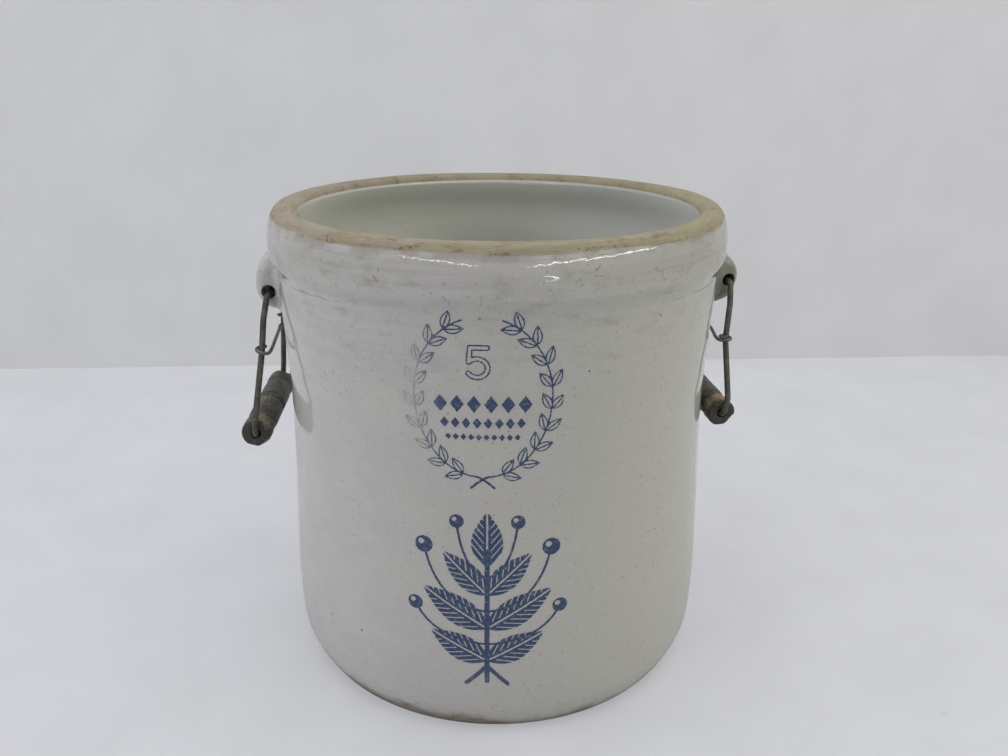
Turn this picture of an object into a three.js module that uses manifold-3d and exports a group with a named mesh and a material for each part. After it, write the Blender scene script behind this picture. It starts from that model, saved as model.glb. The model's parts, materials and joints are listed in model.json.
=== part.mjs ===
// Stoneware crock of about five gallons, with two wire bail handles.
// Millimetres, +Z up. The origin is the centre of the flat underside.
// The handles are on +X and -X, and the stamped front of the crock faces -Y.

import * as THREE from 'three';
import { mergeVertices } from 'three/addons/utils/BufferGeometryUtils.js';
import Module from 'manifold-3d';

const wasm = await Module();
wasm.setup();

// Clearance between pieces that touch on the real object
const FIT_GAP = 0.3;

// Crock, turned about Z
const CROCK_HEIGHT = 328;
const CROCK_SEGMENTS = 96;
// Stations up the outside, as [radius, height]. The heel widens from the edge of the flat underside,
// and the wall is drawn in at its waist.
const HEEL = [[144.6, 0], [147.2, 4.3], [149.7, 9.3], [151.9, 14.9]];
const WALL_STATIONS = [
  [153.5, 21],
  [154.7, 52],
  [152.9, 109],
  [150.6, 162],
  [150, 205],
  [151.2, 238],
  [152.6, 264],
  [153.6, 285],
];
const WALL_STEPS = 14;
const BAND_RADIUS = 158;
const BAND_FOOT_HEIGHT = 287;
const BAND_FULL_HEIGHT = 299;
const BROW_HEIGHT = 23;
const CROWN_OUTER_RADIUS = 150;
const CROWN_INNER_RADIUS = 144;
const MOUTH_RADIUS = 137.6;
const LIP_HEIGHT = 8;
const INNER_RADIUS = 139.5;
const INNER_FULL_DEPTH = 26;
const FLOOR_THICKNESS = 15;
const FLOOR_CORNER_RADIUS = 16;

// Lugs, the pierced ears that are stuck on under the rim band
const LUG_LENGTH = 55;
const LUG_END_ROUNDING = 7;
const LUG_SWELL = 2;
const LUG_BURIED = 16;
const BORE_SEGMENTS = 24;

// Bails, each one bent wire hooked into both ends of its lug's bore
const WIRE_RADIUS = 2.1;
const WIRE_SIDES = 10;
const HOOK_INNER_END = 10;
const LEG_TOP_Y = 31.1;
const LEG_FOOT_Y = 55;
const ANKLE_RISE = 13;
const BOW_DROP = 15;
const BEND_RADIUS = 4.5;
const ANKLE_RADIUS = 12;
const KINK_RADIUS = 25;
const BEND_STEP = Math.PI / 12;

// Ties, thin wires hooked round both legs of a bail. A hook's angles start from straight out and
// go round over the back, in degrees.
const TIE_RADIUS = 1.25;
const TIE_SIDES = 8;
const TIE_RING_RADIUS = 3.75;
const TIE_BACK_RISE = 8;
const TIE_BACK_LOWER = 5.5;
const TIE_SAG = 0.8;
const RING_STEP = 29;
const FRONT_HOOK = [-140, 121];
const BACK_HOOK = [0, 330];

// Grips, turned wood on the bails' bottom runs
const GRIP_LENGTH = 104;
const GRIP_SEGMENTS = 24;
const GRIP_KNOB_RADIUS = 10.2;
const GRIP_KNOB_WIDTH = 11;
const GRIP_ROUNDING = 2.2;
const GRIP_NECK_RADIUS = 9.2;
const GRIP_NECK_FROM_END = 16;
const GRIP_BELLY_RADIUS = 10.2;
const GRIP_BELLY_FROM_END = 27;
const GROOVE_DEPTH = 0.8;
const GROOVE_WIDTH = 2.4;
const GROOVE_FROM_MIDDLE = 2.4;
const GRIP_BORE_RADIUS = 3.3;
const GRIP_MOUTH_RADIUS = 4.8;
const GRIP_SINK_DEPTH = 3.5;

// The two handles, which were bent and stuck on by hand and differ a little.
// side is the sign of X, and azimuth is how far round the crock the handle is from there, in
// degrees. bore and hinge are [distance from the crock's axis, height].
// lean is the bail's rest angle, in degrees out from hanging straight down. tieDrop is how far
// below the hinge the tie grips the front leg, and tieRise how far its hook climbs round it.
// A leg's bow, kink, ankle and foot are how far out it stands from below the hinge, going down,
// and its drop is how far below the hinge its foot is.
const HANDLES = {
  left: {
    side: -1,
    azimuth: 0,
    bore: [158.1, 270],
    boreRadius: 4.8,
    lugReach: 8.2,
    lugTop: 26.5,
    lugFoot: 14.4,
    hinge: [158.5, 268.2],
    lean: 7.4,
    tieDrop: 36.5,
    tieRise: 3,
    front: { bow: 0.8, kink: -0.4, ankle: -0.3, foot: -0.6, drop: 93.6 },
    back: { bow: 0.8, kink: 0.5, ankle: 0.6, foot: 0.5, drop: 93.6 },
  },
  right: {
    side: 1,
    azimuth: 7,
    bore: [165.3, 271.4],
    boreRadius: 4.5,
    lugReach: 7,
    lugTop: 18,
    lugFoot: 18.2,
    hinge: [164.9, 270.8],
    lean: -2,
    tieDrop: 39.2,
    tieRise: 1.6,
    front: { bow: -0.4, kink: -3.8, ankle: -1.6, foot: -3.4, drop: 93.6 },
    back: { bow: 0.4, kink: 1, ankle: 2.9, foot: 3.2, drop: 93.6 },
  },
};

const glaze = new THREE.MeshStandardMaterial({ color: '#bfbeb8', roughness: 0.28, metalness: 0 });
const steel = new THREE.MeshStandardMaterial({ color: '#4b4d47', roughness: 0.5, metalness: 0.8 });
const wood = new THREE.MeshStandardMaterial({ color: '#3d3329', roughness: 0.62, metalness: 0 });

// Merges a closed geometry's shared points and gives it to the solid modeller.
function toSolid(geometry) {
  const bare = geometry.clone();
  bare.deleteAttribute('normal');
  bare.deleteAttribute('uv');
  const merged = mergeVertices(bare, 1e-4);
  return new wasm.Manifold(new wasm.Mesh({
    numProp: 3,
    vertProperties: new Float32Array(merged.attributes.position.array),
    triVerts: new Uint32Array(merged.index.array),
  }));
}

function toGeometry(solid) {
  const mesh = solid.getMesh();
  const geometry = new THREE.BufferGeometry();
  geometry.setAttribute('position', new THREE.BufferAttribute(mesh.vertProperties, 3));
  geometry.setIndex(new THREE.BufferAttribute(mesh.triVerts, 1));
  geometry.computeVertexNormals();
  return geometry;
}

// Turns a profile of [radius, height] pairs about Z.
function turned(profile, segments) {
  const points = profile.map(([radius, height]) => new THREE.Vector2(radius, height));
  return new THREE.LatheGeometry(points, segments).rotateX(Math.PI / 2);
}

// A quarter of an ellipse between two [radius, height] points, leaving the first one level
// where level is true, and upright where it isn't.
function quarter(from, to, level, steps) {
  const points = [];
  for (let i = 0; i <= steps; i++) {
    const angle = (Math.PI / 2) * (i / steps);
    const slow = 1 - Math.cos(angle);
    const fast = Math.sin(angle);
    points.push([
      THREE.MathUtils.lerp(from[0], to[0], level ? fast : slow),
      THREE.MathUtils.lerp(from[1], to[1], level ? slow : fast),
    ]);
  }
  return points;
}

// An even swell between two [radius, distance] points, flat at both ends. Its ends are left out.
function swell(from, to, steps) {
  const points = [];
  for (let i = 1; i < steps; i++) {
    const share = (1 - Math.cos((Math.PI * i) / steps)) / 2;
    points.push([
      THREE.MathUtils.lerp(from[0], to[0], share),
      THREE.MathUtils.lerp(from[1], to[1], i / steps),
    ]);
  }
  return points;
}

// The outside of the crock, from the edge of its flat underside up to the rim's crown.
function outerProfile(grow) {
  const wall = new THREE.SplineCurve(WALL_STATIONS.map(([radius, height]) => new THREE.Vector2(radius, height)));
  const wallTop = [WALL_STATIONS.at(-1)[0], BAND_FOOT_HEIGHT];
  const bandFull = [BAND_RADIUS, BAND_FULL_HEIGHT];
  const browFoot = [BAND_RADIUS, CROCK_HEIGHT - BROW_HEIGHT];
  return [
    ...HEEL,
    ...wall.getPoints(WALL_STEPS).map((point) => [point.x, point.y]),
    wallTop,
    ...swell(wallTop, bandFull, 4),
    bandFull,
    ...quarter(browFoot, [CROWN_OUTER_RADIUS, CROCK_HEIGHT], false, 6),
  ].map(([radius, height]) => [radius + grow, height]);
}

// The inside, from the crown down over the lip to the floor's rounded corner.
function innerProfile() {
  const mouth = [MOUTH_RADIUS, CROCK_HEIGHT - LIP_HEIGHT];
  const cornerTop = [INNER_RADIUS, FLOOR_THICKNESS + FLOOR_CORNER_RADIUS];
  return [
    ...quarter([CROWN_INNER_RADIUS, CROCK_HEIGHT], mouth, true, 4),
    [INNER_RADIUS, CROCK_HEIGHT - INNER_FULL_DEPTH],
    ...quarter(cornerTop, [INNER_RADIUS - FLOOR_CORNER_RADIUS, FLOOR_THICKNESS], false, 5),
  ];
}

function crockBody() {
  return turned([[0, 0], ...outerProfile(0), ...innerProfile(), [0, FLOOR_THICKNESS]], CROCK_SEGMENTS);
}

// The lug's end face, as a shape of (distance out, height) about the centre of its bore.
function lugOutline({ lugReach, lugTop, lugFoot }) {
  const shape = new THREE.Shape();
  shape.moveTo(-LUG_BURIED, lugTop + 1);
  shape.lineTo(-2.2, lugTop - 0.6);
  shape.splineThru([
    [0.48 * lugReach, 0.72 * lugTop],
    [0.88 * lugReach, 0.44 * lugTop],
    [lugReach, 4.5],
    [0.97 * lugReach, -1.5],
    [0.63 * lugReach, -0.5 * lugFoot],
    [0.1 * lugReach, -0.76 * lugFoot],
    [-8, 1.2 - lugFoot],
  ].map(([out, height]) => new THREE.Vector2(out, height)));
  shape.lineTo(-LUG_BURIED, -lugFoot);
  shape.closePath();
  return shape;
}

// A lug on the +X side, cut to the crock's wall and bored along Y.
function lug(spec) {
  const [out, height] = spec.bore;
  const block = new THREE.ExtrudeGeometry(lugOutline(spec), {
    depth: LUG_LENGTH - 2 * LUG_END_ROUNDING,
    curveSegments: 2,
    bevelThickness: LUG_END_ROUNDING,
    bevelSize: LUG_SWELL,
    bevelSegments: 4,
  });
  block.translate(0, 0, LUG_END_ROUNDING - LUG_LENGTH / 2);
  block.rotateX(Math.PI / 2);
  block.translate(out, 0, height);
  const hole = new THREE.CylinderGeometry(spec.boreRadius, spec.boreRadius, 2 * LUG_LENGTH, BORE_SEGMENTS);
  hole.translate(out, 0, height);
  const wall = turned([[0, 0], ...outerProfile(FIT_GAP), [0, CROCK_HEIGHT]], CROCK_SEGMENTS);
  return toGeometry(toSolid(block).subtract(toSolid(hole)).subtract(toSolid(wall)));
}

// A path whose steps are the stretches between its own points, so bends can have more of them.
class SteppedPath extends THREE.Curve {
  constructor(points) {
    super();
    this.points = points;
  }

  getPoint(t, target = new THREE.Vector3()) {
    const steps = this.points.length - 1;
    const index = Math.min(Math.floor(t * steps), steps - 1);
    return target.lerpVectors(this.points[index], this.points[index + 1], t * steps - index);
  }

  getUtoTmapping(u) {
    return u;
  }
}

// A round wire through points. An arc gets two sides for each curve segment.
function wire(points, radius, sides) {
  return new THREE.ExtrudeGeometry(new THREE.Shape().absarc(0, 0, radius, 0, 2 * Math.PI), {
    steps: points.length - 1,
    extrudePath: new SteppedPath(points),
    curveSegments: sides / 2,
  });
}

// Rounds each inner corner of a route to its own radius.
function roundedRoute(corners) {
  const points = [corners[0].at];
  for (let i = 1; i < corners.length - 1; i++) {
    const { at, radius } = corners[i];
    const back = corners[i - 1].at.clone().sub(at).normalize();
    const onward = corners[i + 1].at.clone().sub(at).normalize();
    const turn = Math.PI - back.angleTo(onward);
    const centre = back.clone().add(onward).normalize().multiplyScalar(radius / Math.cos(turn / 2)).add(at);
    const spoke = back.clone().multiplyScalar(radius * Math.tan(turn / 2)).add(at).sub(centre);
    const axis = onward.clone().cross(back).normalize();
    const steps = Math.max(2, Math.ceil(turn / BEND_STEP));
    for (let k = 0; k <= steps; k++) {
      points.push(spoke.clone().applyAxisAngle(axis, (turn * k) / steps).add(centre));
    }
  }
  points.push(corners.at(-1).at);
  return points;
}

// A point given by how far out from the hinge line, along Y and below the hinge line it is,
// on a bail that hangs straight down.
function onBail(side, out, y, drop) {
  return new THREE.Vector3(side * out, y, -drop);
}

// How far along Y a leg is at some drop, on the back (+1) or front (-1) end of the bail.
// The legs spread on the way down, and run upright past the ends of the grip.
function legY(leg, end, drop) {
  const spread = Math.min(1, drop / (leg.drop - ANKLE_RISE));
  return end * (LEG_TOP_Y + (LEG_FOOT_Y - LEG_TOP_Y) * spread);
}

// The corners of half a bail, from its hooked end in the bore to its foot.
function bailHalf({ side, tieDrop }, leg, end) {
  const corner = (out, y, drop, radius) => ({ at: onBail(side, out, y, drop), radius });
  return [
    corner(0, end * HOOK_INNER_END, 0, 0),
    corner(0, end * LEG_TOP_Y, 0, BEND_RADIUS),
    corner(leg.bow, legY(leg, end, BOW_DROP), BOW_DROP, KINK_RADIUS),
    corner(leg.kink, legY(leg, end, tieDrop), tieDrop, KINK_RADIUS),
    corner(leg.ankle, end * LEG_FOOT_Y, leg.drop - ANKLE_RISE, ANKLE_RADIUS),
    corner(leg.foot, end * LEG_FOOT_Y, leg.drop, BEND_RADIUS),
  ];
}

function bail(spec) {
  const route = [...bailHalf(spec, spec.front, -1), ...bailHalf(spec, spec.back, 1).reverse()];
  return wire(roundedRoute(route), WIRE_RADIUS, WIRE_SIDES);
}

// A tie's hook round a leg: part of a ring that climbs as it goes round from the span to its tip.
function tieHook(side, leg, end, drop, rise, [from, to]) {
  const points = [];
  const steps = Math.round(Math.abs(to - from) / RING_STEP);
  for (let i = 0; i <= steps; i++) {
    const angle = THREE.MathUtils.degToRad(from + ((to - from) * i) / steps);
    const height = drop - (rise * i) / steps;
    const out = leg.kink + TIE_RING_RADIUS * Math.cos(angle);
    points.push(onBail(side, out, legY(leg, end, height) + TIE_RING_RADIUS * Math.sin(angle), height));
  }
  return points;
}

// A tie: a hook round the front leg, a span that crosses from the crock's side of the front leg
// to the outer side of the back leg, and a hook round the back leg.
function tie({ side, tieDrop, tieRise, front, back }) {
  const backDrop = tieDrop + TIE_BACK_LOWER;
  const middleDrop = (tieDrop + backDrop) / 2 + TIE_SAG;
  const frontY = legY(front, -1, tieDrop);
  const backY = legY(back, 1, backDrop);
  const points = [
    ...tieHook(side, front, -1, tieDrop, tieRise, FRONT_HOOK).reverse(),
    onBail(side, front.kink - 5, frontY + 3.5, tieDrop + 0.6),
    onBail(side, front.kink - 4.2, frontY + 10, tieDrop + 1),
    onBail(side, (front.kink + back.kink) / 2 - 0.6, 0, middleDrop),
    onBail(side, back.kink + 2.4, backY - 12, backDrop + 0.4),
    onBail(side, back.kink + 3.7, backY - 4, backDrop),
    ...tieHook(side, back, 1, backDrop, TIE_BACK_RISE, BACK_HOOK),
  ];
  const path = new THREE.CatmullRomCurve3(points, false, 'centripetal');
  return wire(path.getPoints(2 * (points.length - 1)), TIE_RADIUS, TIE_SIDES);
}

// Half of the grip's turned outline, as [radius, distance from the end].
function gripHalf() {
  const neck = [GRIP_NECK_RADIUS, GRIP_NECK_FROM_END];
  const knobEnd = [GRIP_KNOB_RADIUS, GRIP_KNOB_WIDTH];
  const belly = [GRIP_BELLY_RADIUS, GRIP_BELLY_FROM_END];
  const groove = GRIP_LENGTH / 2 - GROOVE_FROM_MIDDLE;
  return [
    [GRIP_MOUTH_RADIUS, 0],
    ...quarter([GRIP_KNOB_RADIUS - GRIP_ROUNDING, 0], [GRIP_KNOB_RADIUS, GRIP_ROUNDING], true, 3),
    knobEnd,
    ...swell(knobEnd, neck, 3),
    neck,
    ...swell(neck, belly, 4),
    belly,
    [GRIP_BELLY_RADIUS, groove - GROOVE_WIDTH / 2],
    [GRIP_BELLY_RADIUS - GROOVE_DEPTH, groove],
    [GRIP_BELLY_RADIUS, groove + GROOVE_WIDTH / 2],
  ];
}

// A grip along Y with a bore right through, countersunk at both ends.
function grip() {
  const end = GRIP_LENGTH / 2;
  const half = gripHalf();
  const profile = [
    ...half.map(([radius, from]) => [radius, from - end]),
    ...half.map(([radius, from]) => [radius, end - from]).reverse(),
    [GRIP_BORE_RADIUS, end - GRIP_SINK_DEPTH],
    [GRIP_BORE_RADIUS, GRIP_SINK_DEPTH - end],
    [GRIP_MOUTH_RADIUS, -end],
  ];
  return turned(profile, GRIP_SEGMENTS).rotateX(-Math.PI / 2);
}

function named(name, geometry, material) {
  const mesh = new THREE.Mesh(geometry, material);
  mesh.name = name;
  return mesh;
}

// One handle: its lug on the crock, and the group that swings about the bore.
function handle(name, spec) {
  const { side, azimuth, hinge, lean, front, back } = spec;
  const lugMesh = named(`${name}_lug`, lug(spec), glaze);
  lugMesh.rotation.z = side < 0 ? Math.PI : 0;
  const frontFoot = onBail(side, front.foot, -LEG_FOOT_Y, front.drop);
  const backFoot = onBail(side, back.foot, LEG_FOOT_Y, back.drop);
  const gripMesh = named(`${name}_grip`, grip(), wood);
  gripMesh.position.lerpVectors(frontFoot, backFoot, 0.5);
  gripMesh.quaternion.setFromUnitVectors(new THREE.Vector3(0, 1, 0), backFoot.clone().sub(frontFoot).normalize());
  const swing = new THREE.Group();
  swing.position.set(side * hinge[0], 0, hinge[1]);
  swing.rotation.y = -side * THREE.MathUtils.degToRad(lean);
  swing.add(named(`${name}_bail`, bail(spec), steel), named(`${name}_tie`, tie(spec), steel), gripMesh);
  const group = new THREE.Group().add(lugMesh, swing);
  group.rotation.z = THREE.MathUtils.degToRad(azimuth);
  return group;
}

const crock = new THREE.Group();
crock.add(named('crock_body', crockBody(), glaze));
for (const [name, spec] of Object.entries(HANDLES)) {
  crock.add(handle(name, spec));
}

export default crock;
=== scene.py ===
"""A glazed stoneware crock with two wire bail handles and turned wooden grips.

Sizes are in millimetres until a mesh is made. The frame, the settings and the lamps are in metres.
"""

import json
import math

import bmesh
import bpy
import numpy as np
from bpy.props import FloatProperty, FloatVectorProperty, IntProperty, PointerProperty
from mathutils import Euler, Matrix, Vector, noise


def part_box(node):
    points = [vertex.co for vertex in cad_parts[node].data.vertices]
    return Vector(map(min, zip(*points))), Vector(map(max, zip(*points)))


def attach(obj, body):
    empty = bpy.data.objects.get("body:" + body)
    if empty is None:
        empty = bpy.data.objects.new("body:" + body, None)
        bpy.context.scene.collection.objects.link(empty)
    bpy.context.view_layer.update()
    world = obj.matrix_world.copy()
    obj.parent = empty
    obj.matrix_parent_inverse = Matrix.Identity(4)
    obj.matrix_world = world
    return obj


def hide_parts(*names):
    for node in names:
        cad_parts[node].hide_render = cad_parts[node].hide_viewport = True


bl_info = {
    "name": "Stoneware Crock",
    "version": (1, 0, 0),
    "blender": (4, 5, 0),
    "location": "3D View > Sidebar > Crock",
    "description": "Builds a stoneware crock with wire bail handles",
    "category": "Add Mesh",
}

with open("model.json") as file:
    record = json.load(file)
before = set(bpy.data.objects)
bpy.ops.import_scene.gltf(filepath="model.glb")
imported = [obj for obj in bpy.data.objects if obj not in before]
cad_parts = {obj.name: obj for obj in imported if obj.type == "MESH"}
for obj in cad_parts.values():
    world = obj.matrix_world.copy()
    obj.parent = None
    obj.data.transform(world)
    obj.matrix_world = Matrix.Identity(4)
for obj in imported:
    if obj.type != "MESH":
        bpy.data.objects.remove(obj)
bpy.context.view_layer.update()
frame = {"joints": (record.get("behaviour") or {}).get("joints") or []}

MM = 0.001
JOINTS = {joint["name"]: joint for joint in frame["joints"]}
TAU = 2 * math.pi

# The crock's outline, turned about Z
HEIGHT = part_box("crock_body")[1].z / MM
BAND_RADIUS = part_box("crock_body")[1].x / MM
HEEL = [(144.6, 0), (147.2, 4.3), (149.7, 9.3), (151.9, 14.9)]
WALL_STATIONS = [
    (153.5, 21), (154.7, 52), (152.9, 109), (150.6, 162),
    (150, 205), (151.2, 238), (152.6, 264), (153.6, 285),
]
BAND_FOOT_HEIGHT = 287
BAND_FULL_HEIGHT = 299
BROW_HEIGHT = 23
CROWN_OUTER_RADIUS = 150
CROWN_INNER_RADIUS = 144
MOUTH_RADIUS = 137.6
LIP_HEIGHT = 8
INNER_RADIUS = 139.5
INNER_FULL_DEPTH = 26
FLOOR_THICKNESS = 15
FLOOR_CORNER_RADIUS = 16
SEAM_HEIGHT = 287.4
CROWN_DEPTH = 12
CROCK_ANGLE_STEP = 1.5
CROCK_SHARP_ANGLE = math.radians(42)
FINE_SHARP_ANGLE = math.radians(50)

# The lugs
LUG_LENGTH = 55
LUG_END_ROUNDING = 6
LUG_SWELL = 2
LUG_BURIED = 16
LUG_BLEND = 5
LUG_FULL_MIDDLE = 12
LUG_RIPPLE = 0.25
LUG_OUTER_LIMIT = 190.0
LUG_HALVINGS = 16
LUG_HEIGHTS = (235, 312)
LUG_ROW_STEP = 1.1
# Angles from a lug's middle, in degrees: those at its ends, the rest of them, and where they stop
LUG_END_ANGLES = (8.2, 11.2, 0.11)
LUG_ANGLES = (1, 2, 3, 4, 5, 6, 7, 7.6, 11.6, 12.2, 13, 14)
LUG_LAST_ANGLE = 14.6
BORE_LIP = 1.3
BORE_SPOKES = 40

# The bails and ties
HOOK_INNER_END = 10
LEG_TOP_Y = 31.1
LEG_FOOT_Y = 55
ANKLE_RISE = 13
BOW_DROP = 15
BEND_RADIUS = 4.5
ANKLE_RADIUS = 12
KINK_RADIUS = 25
BEND_STEP = math.radians(6)
TIE_RING_RADIUS = 3.6
TIE_BACK_RISE = 6.5
TIE_BACK_LOWER = 4
RING_STEP = 12
BACK_HOOK = (250, -35)
WIRE_WOBBLE = 0.35
WIRE_WOBBLE_SCALE = 45.0
WIRE_UNEVENNESS = 0.03
WIRE_UNEVENNESS_SCALE = 400.0
# The ties' steel is a lighter copy of the bails', partly as a painted highlight on the thin wire.
TIE_LIGHTER = 1.45

# The grips
GRIP_LENGTH = 104
GRIP_KNOB_RADIUS = 10.2
GRIP_KNOB_WIDTH = 11
GRIP_ROUNDING = 2.2
GRIP_NECK_RADIUS = 9.2
GRIP_NECK_FROM_END = 16
GRIP_BELLY_RADIUS = 10.2
GRIP_BELLY_FROM_END = 27
GROOVE_DEPTH = 1.1
GROOVE_WIDTH = 2.8
GROOVE_FROM_MIDDLE = 2.7
GRIP_BORE_RADIUS = 2.9
GRIP_MOUTH_RADIUS = 3.6
GRIP_SINK_DEPTH = 2.5
GRIP_SEGMENTS = 96
GRIP_LUMPS = 0.2
GRIP_DENTS = 0.12
CHIP_DEPTH = 2.6
CHIP_FROM_END = 5
CHIP_SQUASH = 1.1
END_DIRT = 0.65
# Where the paint is rubbed off: the angle round the grip in degrees, the place along it, how far the
# rubbing reaches, and how strong it is. Angles start on +X and go over the top.
GRIP_RUBS = {
    "left": [
        (45, -48, 5.5, 0.9), (85, -45, 5, 0.85), (112, -10, 6.5, 0.95), (80, 50, 5, 0.7), (80, -38, 4, 0.4),
    ],
    "right": [(84, -43, 7.5, 1.8), (160, -44, 6, 0.7), (100, 30, 9, 0.6)],
}
# Where the knobs' edges are chipped: the angle in degrees, the end, how far the chip reaches and how
# deep it is
GRIP_CHIPS = {
    "left": [(-50, -1, 6.5, 2.0), (-105, -1, 4.5, 0.9), (70, 1, 5, 1.6)],
    "right": [(-38, -1, 6, 2.4), (-85, -1, 5, 1.1), (55, -1, 4, 1.0)],
}

# The two handles. bore is (distance from the crock's axis, height), and lean is the bail's angle
# out from hanging straight down. A leg's bow, kink, ankle and foot are how far out it stands from
# below the hinge, going down, and its drop is how far below the hinge its foot is. The tie's span is
# given as (how far out, how far along the hinge, how far below it).
HANDLES = {
    "left": {
        "bore": (158.1, 270), "bore_radius": 4.8, "reach": 8.2, "top": 26.5, "foot": 14.4,
        "lean": math.radians(7.4), "tie_drop": 36.5, "tie_rise": 3, "front_hook": (-140, 121),
        "tie_span": [
            (-4.5, -41.4, 37.1), (-5.1, -36, 37), (-5, -29, 36.5), (-4.2, -18, 36.3),
            (-2.6, 0, 37.4), (-0.8, 19, 39), (1.2, 34, 40.6),
        ],
        "front": {"bow": 0.8, "kink": -0.4, "ankle": -0.3, "foot": -0.6, "drop": 93.6},
        "back": {"bow": 0.8, "kink": 0.5, "ankle": 0.6, "foot": 0.5, "drop": 93.6},
    },
    "right": {
        "bore": (165.3, 271.4), "bore_radius": 4.5, "reach": 7, "top": 18, "foot": 18.2,
        "lean": math.radians(-2), "tie_drop": 39.2, "tie_rise": 2.2, "front_hook": (-140, 255),
        "tie_span": [
            (-7.9, -43, 39.8), (-8.4, -38, 39.8), (-7, -31, 39.8), (-5.2, -24, 39.7),
            (-2.2, -12, 39.8), (0.4, 6, 40.6), (2.2, 24, 42.6), (3.4, 35, 43.9),
        ],
        "front": {"bow": -0.4, "kink": -3.8, "ankle": -1.6, "foot": -3.4, "drop": 93.6},
        "back": {"bow": 0.4, "kink": 1, "ankle": 2.9, "foot": 3.2, "drop": 93.6},
    },
}

# Low runs of glaze on the front of the band, by azimuth from -Y towards +X, and by height
GLAZE_RUNS = [(math.radians(8), 306), (math.radians(-31), 308)]
GLAZE_RUN_REACH = 14.0
GLAZE_RUN_FLATNESS = 1.9
GLAZE_RUN_DEPTH = 1.1

# Colours of stains and of painted shade (the seam's painted shadow, and the lug's dirt with painted shade),
# and of the foot's clay where it is pale and where it is dark
STAINS_AND_SHADES = {
    "pit": (0.2, 0.185, 0.15, 1),
    "iron": (0.1, 0.06, 0.03, 1),
    "spot": (0.13, 0.1, 0.075, 1),
    "ochre": (0.3, 0.22, 0.11, 1),
    "brown": (0.16, 0.085, 0.04, 1),
    "drop": (0.06, 0.035, 0.02, 1),
    "drip": (0.12, 0.07, 0.045, 1),
    "crack": (0.16, 0.1, 0.07, 1),
    "dusk": (0.24, 0.19, 0.16, 1),
    "seam": (0.1, 0.09, 0.075, 1),
    "lug": (0.12, 0.116, 0.076, 1),
    "foot": (0.27, 0.22, 0.19, 1),
    "rust": (0.09, 0.05, 0.028, 1),
    "brown paint": (0.078, 0.055, 0.032, 1),
    "dust": (0.14, 0.13, 0.1, 1),
}
FOOT_CLAY = ((0.29, 0.245, 0.2, 1), (0.2, 0.17, 0.135, 1))

# Tints, by which a colour is multiplied
GREENER = (1, 1.018, 0.96)
LILAC = (0.99, 0.96, 1.02)
BROWNER = (1, 0.97, 0.92)
PINKER = (1.02, 0.97, 1.2)
BLUER = (1, 1, 1.08)
REDDER = (1.1, 0.88, 0.82)
GOLDEN = (1, 0.84, 0.58)
WARM = (1.02, 1, 0.92)
WARMER = (1.02, 1, 0.9)
SPECK_EDGE = (-0.02, 0.03)

# The stamps on the front, placed by azimuth from -Y towards +X, and by height
UPPER_STAMP = {"azimuth": math.radians(-5.8), "height": 238, "half_size": (48, 60)}
LOWER_STAMP = {"azimuth": math.radians(-4.8), "height": 104, "half_size": (53, 66)}
STAMP_GRID = 0.5
STAMP_RADIUS = 152
NUMERAL_HEIGHT = 19
NUMERAL_PLACE = (-3, 23)
VEIN_PITCH = 5.2
STALK_POINTS = 13
# Rows of lozenges: the height, the pitch, half of a lozenge's height and how many there are
LOZENGE_ROWS = ((-3, 10, 5.6, 6), (-15, 6.5, 3.6, 8), (-24, 4.6, 2.3, 10))
WREATH_HALF_SIZE = (41, 50)
# Pairs on the sprig's stem: where one starts, how far out and up it reaches, and its half width
# or its berry's radius
SPRIG_LEAVES = ((-44, 36, 20, 9.5), (-20, 41, 27, 10), (4, 28, 29, 8.5))
SPRIG_BERRIES = ((-32, 46, 26, 5), (-8, 40, 44, 5.8), (16, 19, 38, 4.6))

# The photograph's frame and the camera that was fitted to it
PHOTO_WIDTH = 1008
FOCAL_PIXELS = 870
SENSOR = 36
CAMERA_PLACE = (-27.8, -612.5, 423.6)
CAMERA_HEADING = math.radians(3.07)
CAMERA_PITCH = math.radians(20.42)
CAMERA_ROLL = math.radians(0.37)
WALL_DISTANCE = 590
WALL_TURN = math.radians(0.4)
STAGE_REACH = 3000
STAGE_GLOW = 0.5
COOL = (0.92, 0.95, 1)
WARM_WHITE = (1, 0.97, 0.87)
SKY_COLOUR = (0.94, 0.96, 1, 1)

# What the settings' colours have in common, and what the lamps' powers have
COLOUR = {"subtype": "COLOR", "size": 3, "min": 0, "max": 1}
POWER = {"unit": "POWER", "min": 0, "max": 500}


# Outlines

def part_way(start, end, across, up):
    """A point that is some share of the way across from start to end, and another share up."""
    return start[0] + (end[0] - start[0]) * across, start[1] + (end[1] - start[1]) * up


def quarter(start, end, level, steps):
    """A quarter of an ellipse between two (radius, height) points, level or upright at the first."""
    points = []
    for i in range(steps + 1):
        angle = math.pi / 2 * i / steps
        slow = 1 - math.cos(angle)
        fast = math.sin(angle)
        across, up = (fast, slow) if level else (slow, fast)
        points.append(part_way(start, end, across, up))
    return points


def swell(start, end, steps):
    """An even swell between two points, flat at both ends."""
    points = []
    for i in range(steps + 1):
        share = (1 - math.cos(math.pi * i / steps)) / 2
        points.append(part_way(start, end, share, i / steps))
    return points


def through(points, samples):
    """Points on a smooth curve through some points, as many for each stretch as samples says."""
    points = np.array(points, float)
    padded = np.vstack([2 * points[0] - points[1], points, 2 * points[-1] - points[-2]])
    lengths = np.linalg.norm(np.diff(padded, axis=0), axis=1)
    curve = []
    for i in range(len(points) - 1):
        before, here, there, after = padded[i:i + 4]
        leaving = (there - before) * lengths[i + 1] / (lengths[i] + lengths[i + 1])
        arriving = (after - here) * lengths[i + 1] / (lengths[i + 1] + lengths[i + 2])
        for k in range(samples):
            t = k / samples
            late = t * t * (3 - 2 * t)
            bulge = leaving * t * (1 - t) ** 2 - arriving * t * t * (1 - t)
            curve.append(here + (there - here) * late + bulge)
    curve.append(points[-1])
    return np.array(curve)


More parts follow.
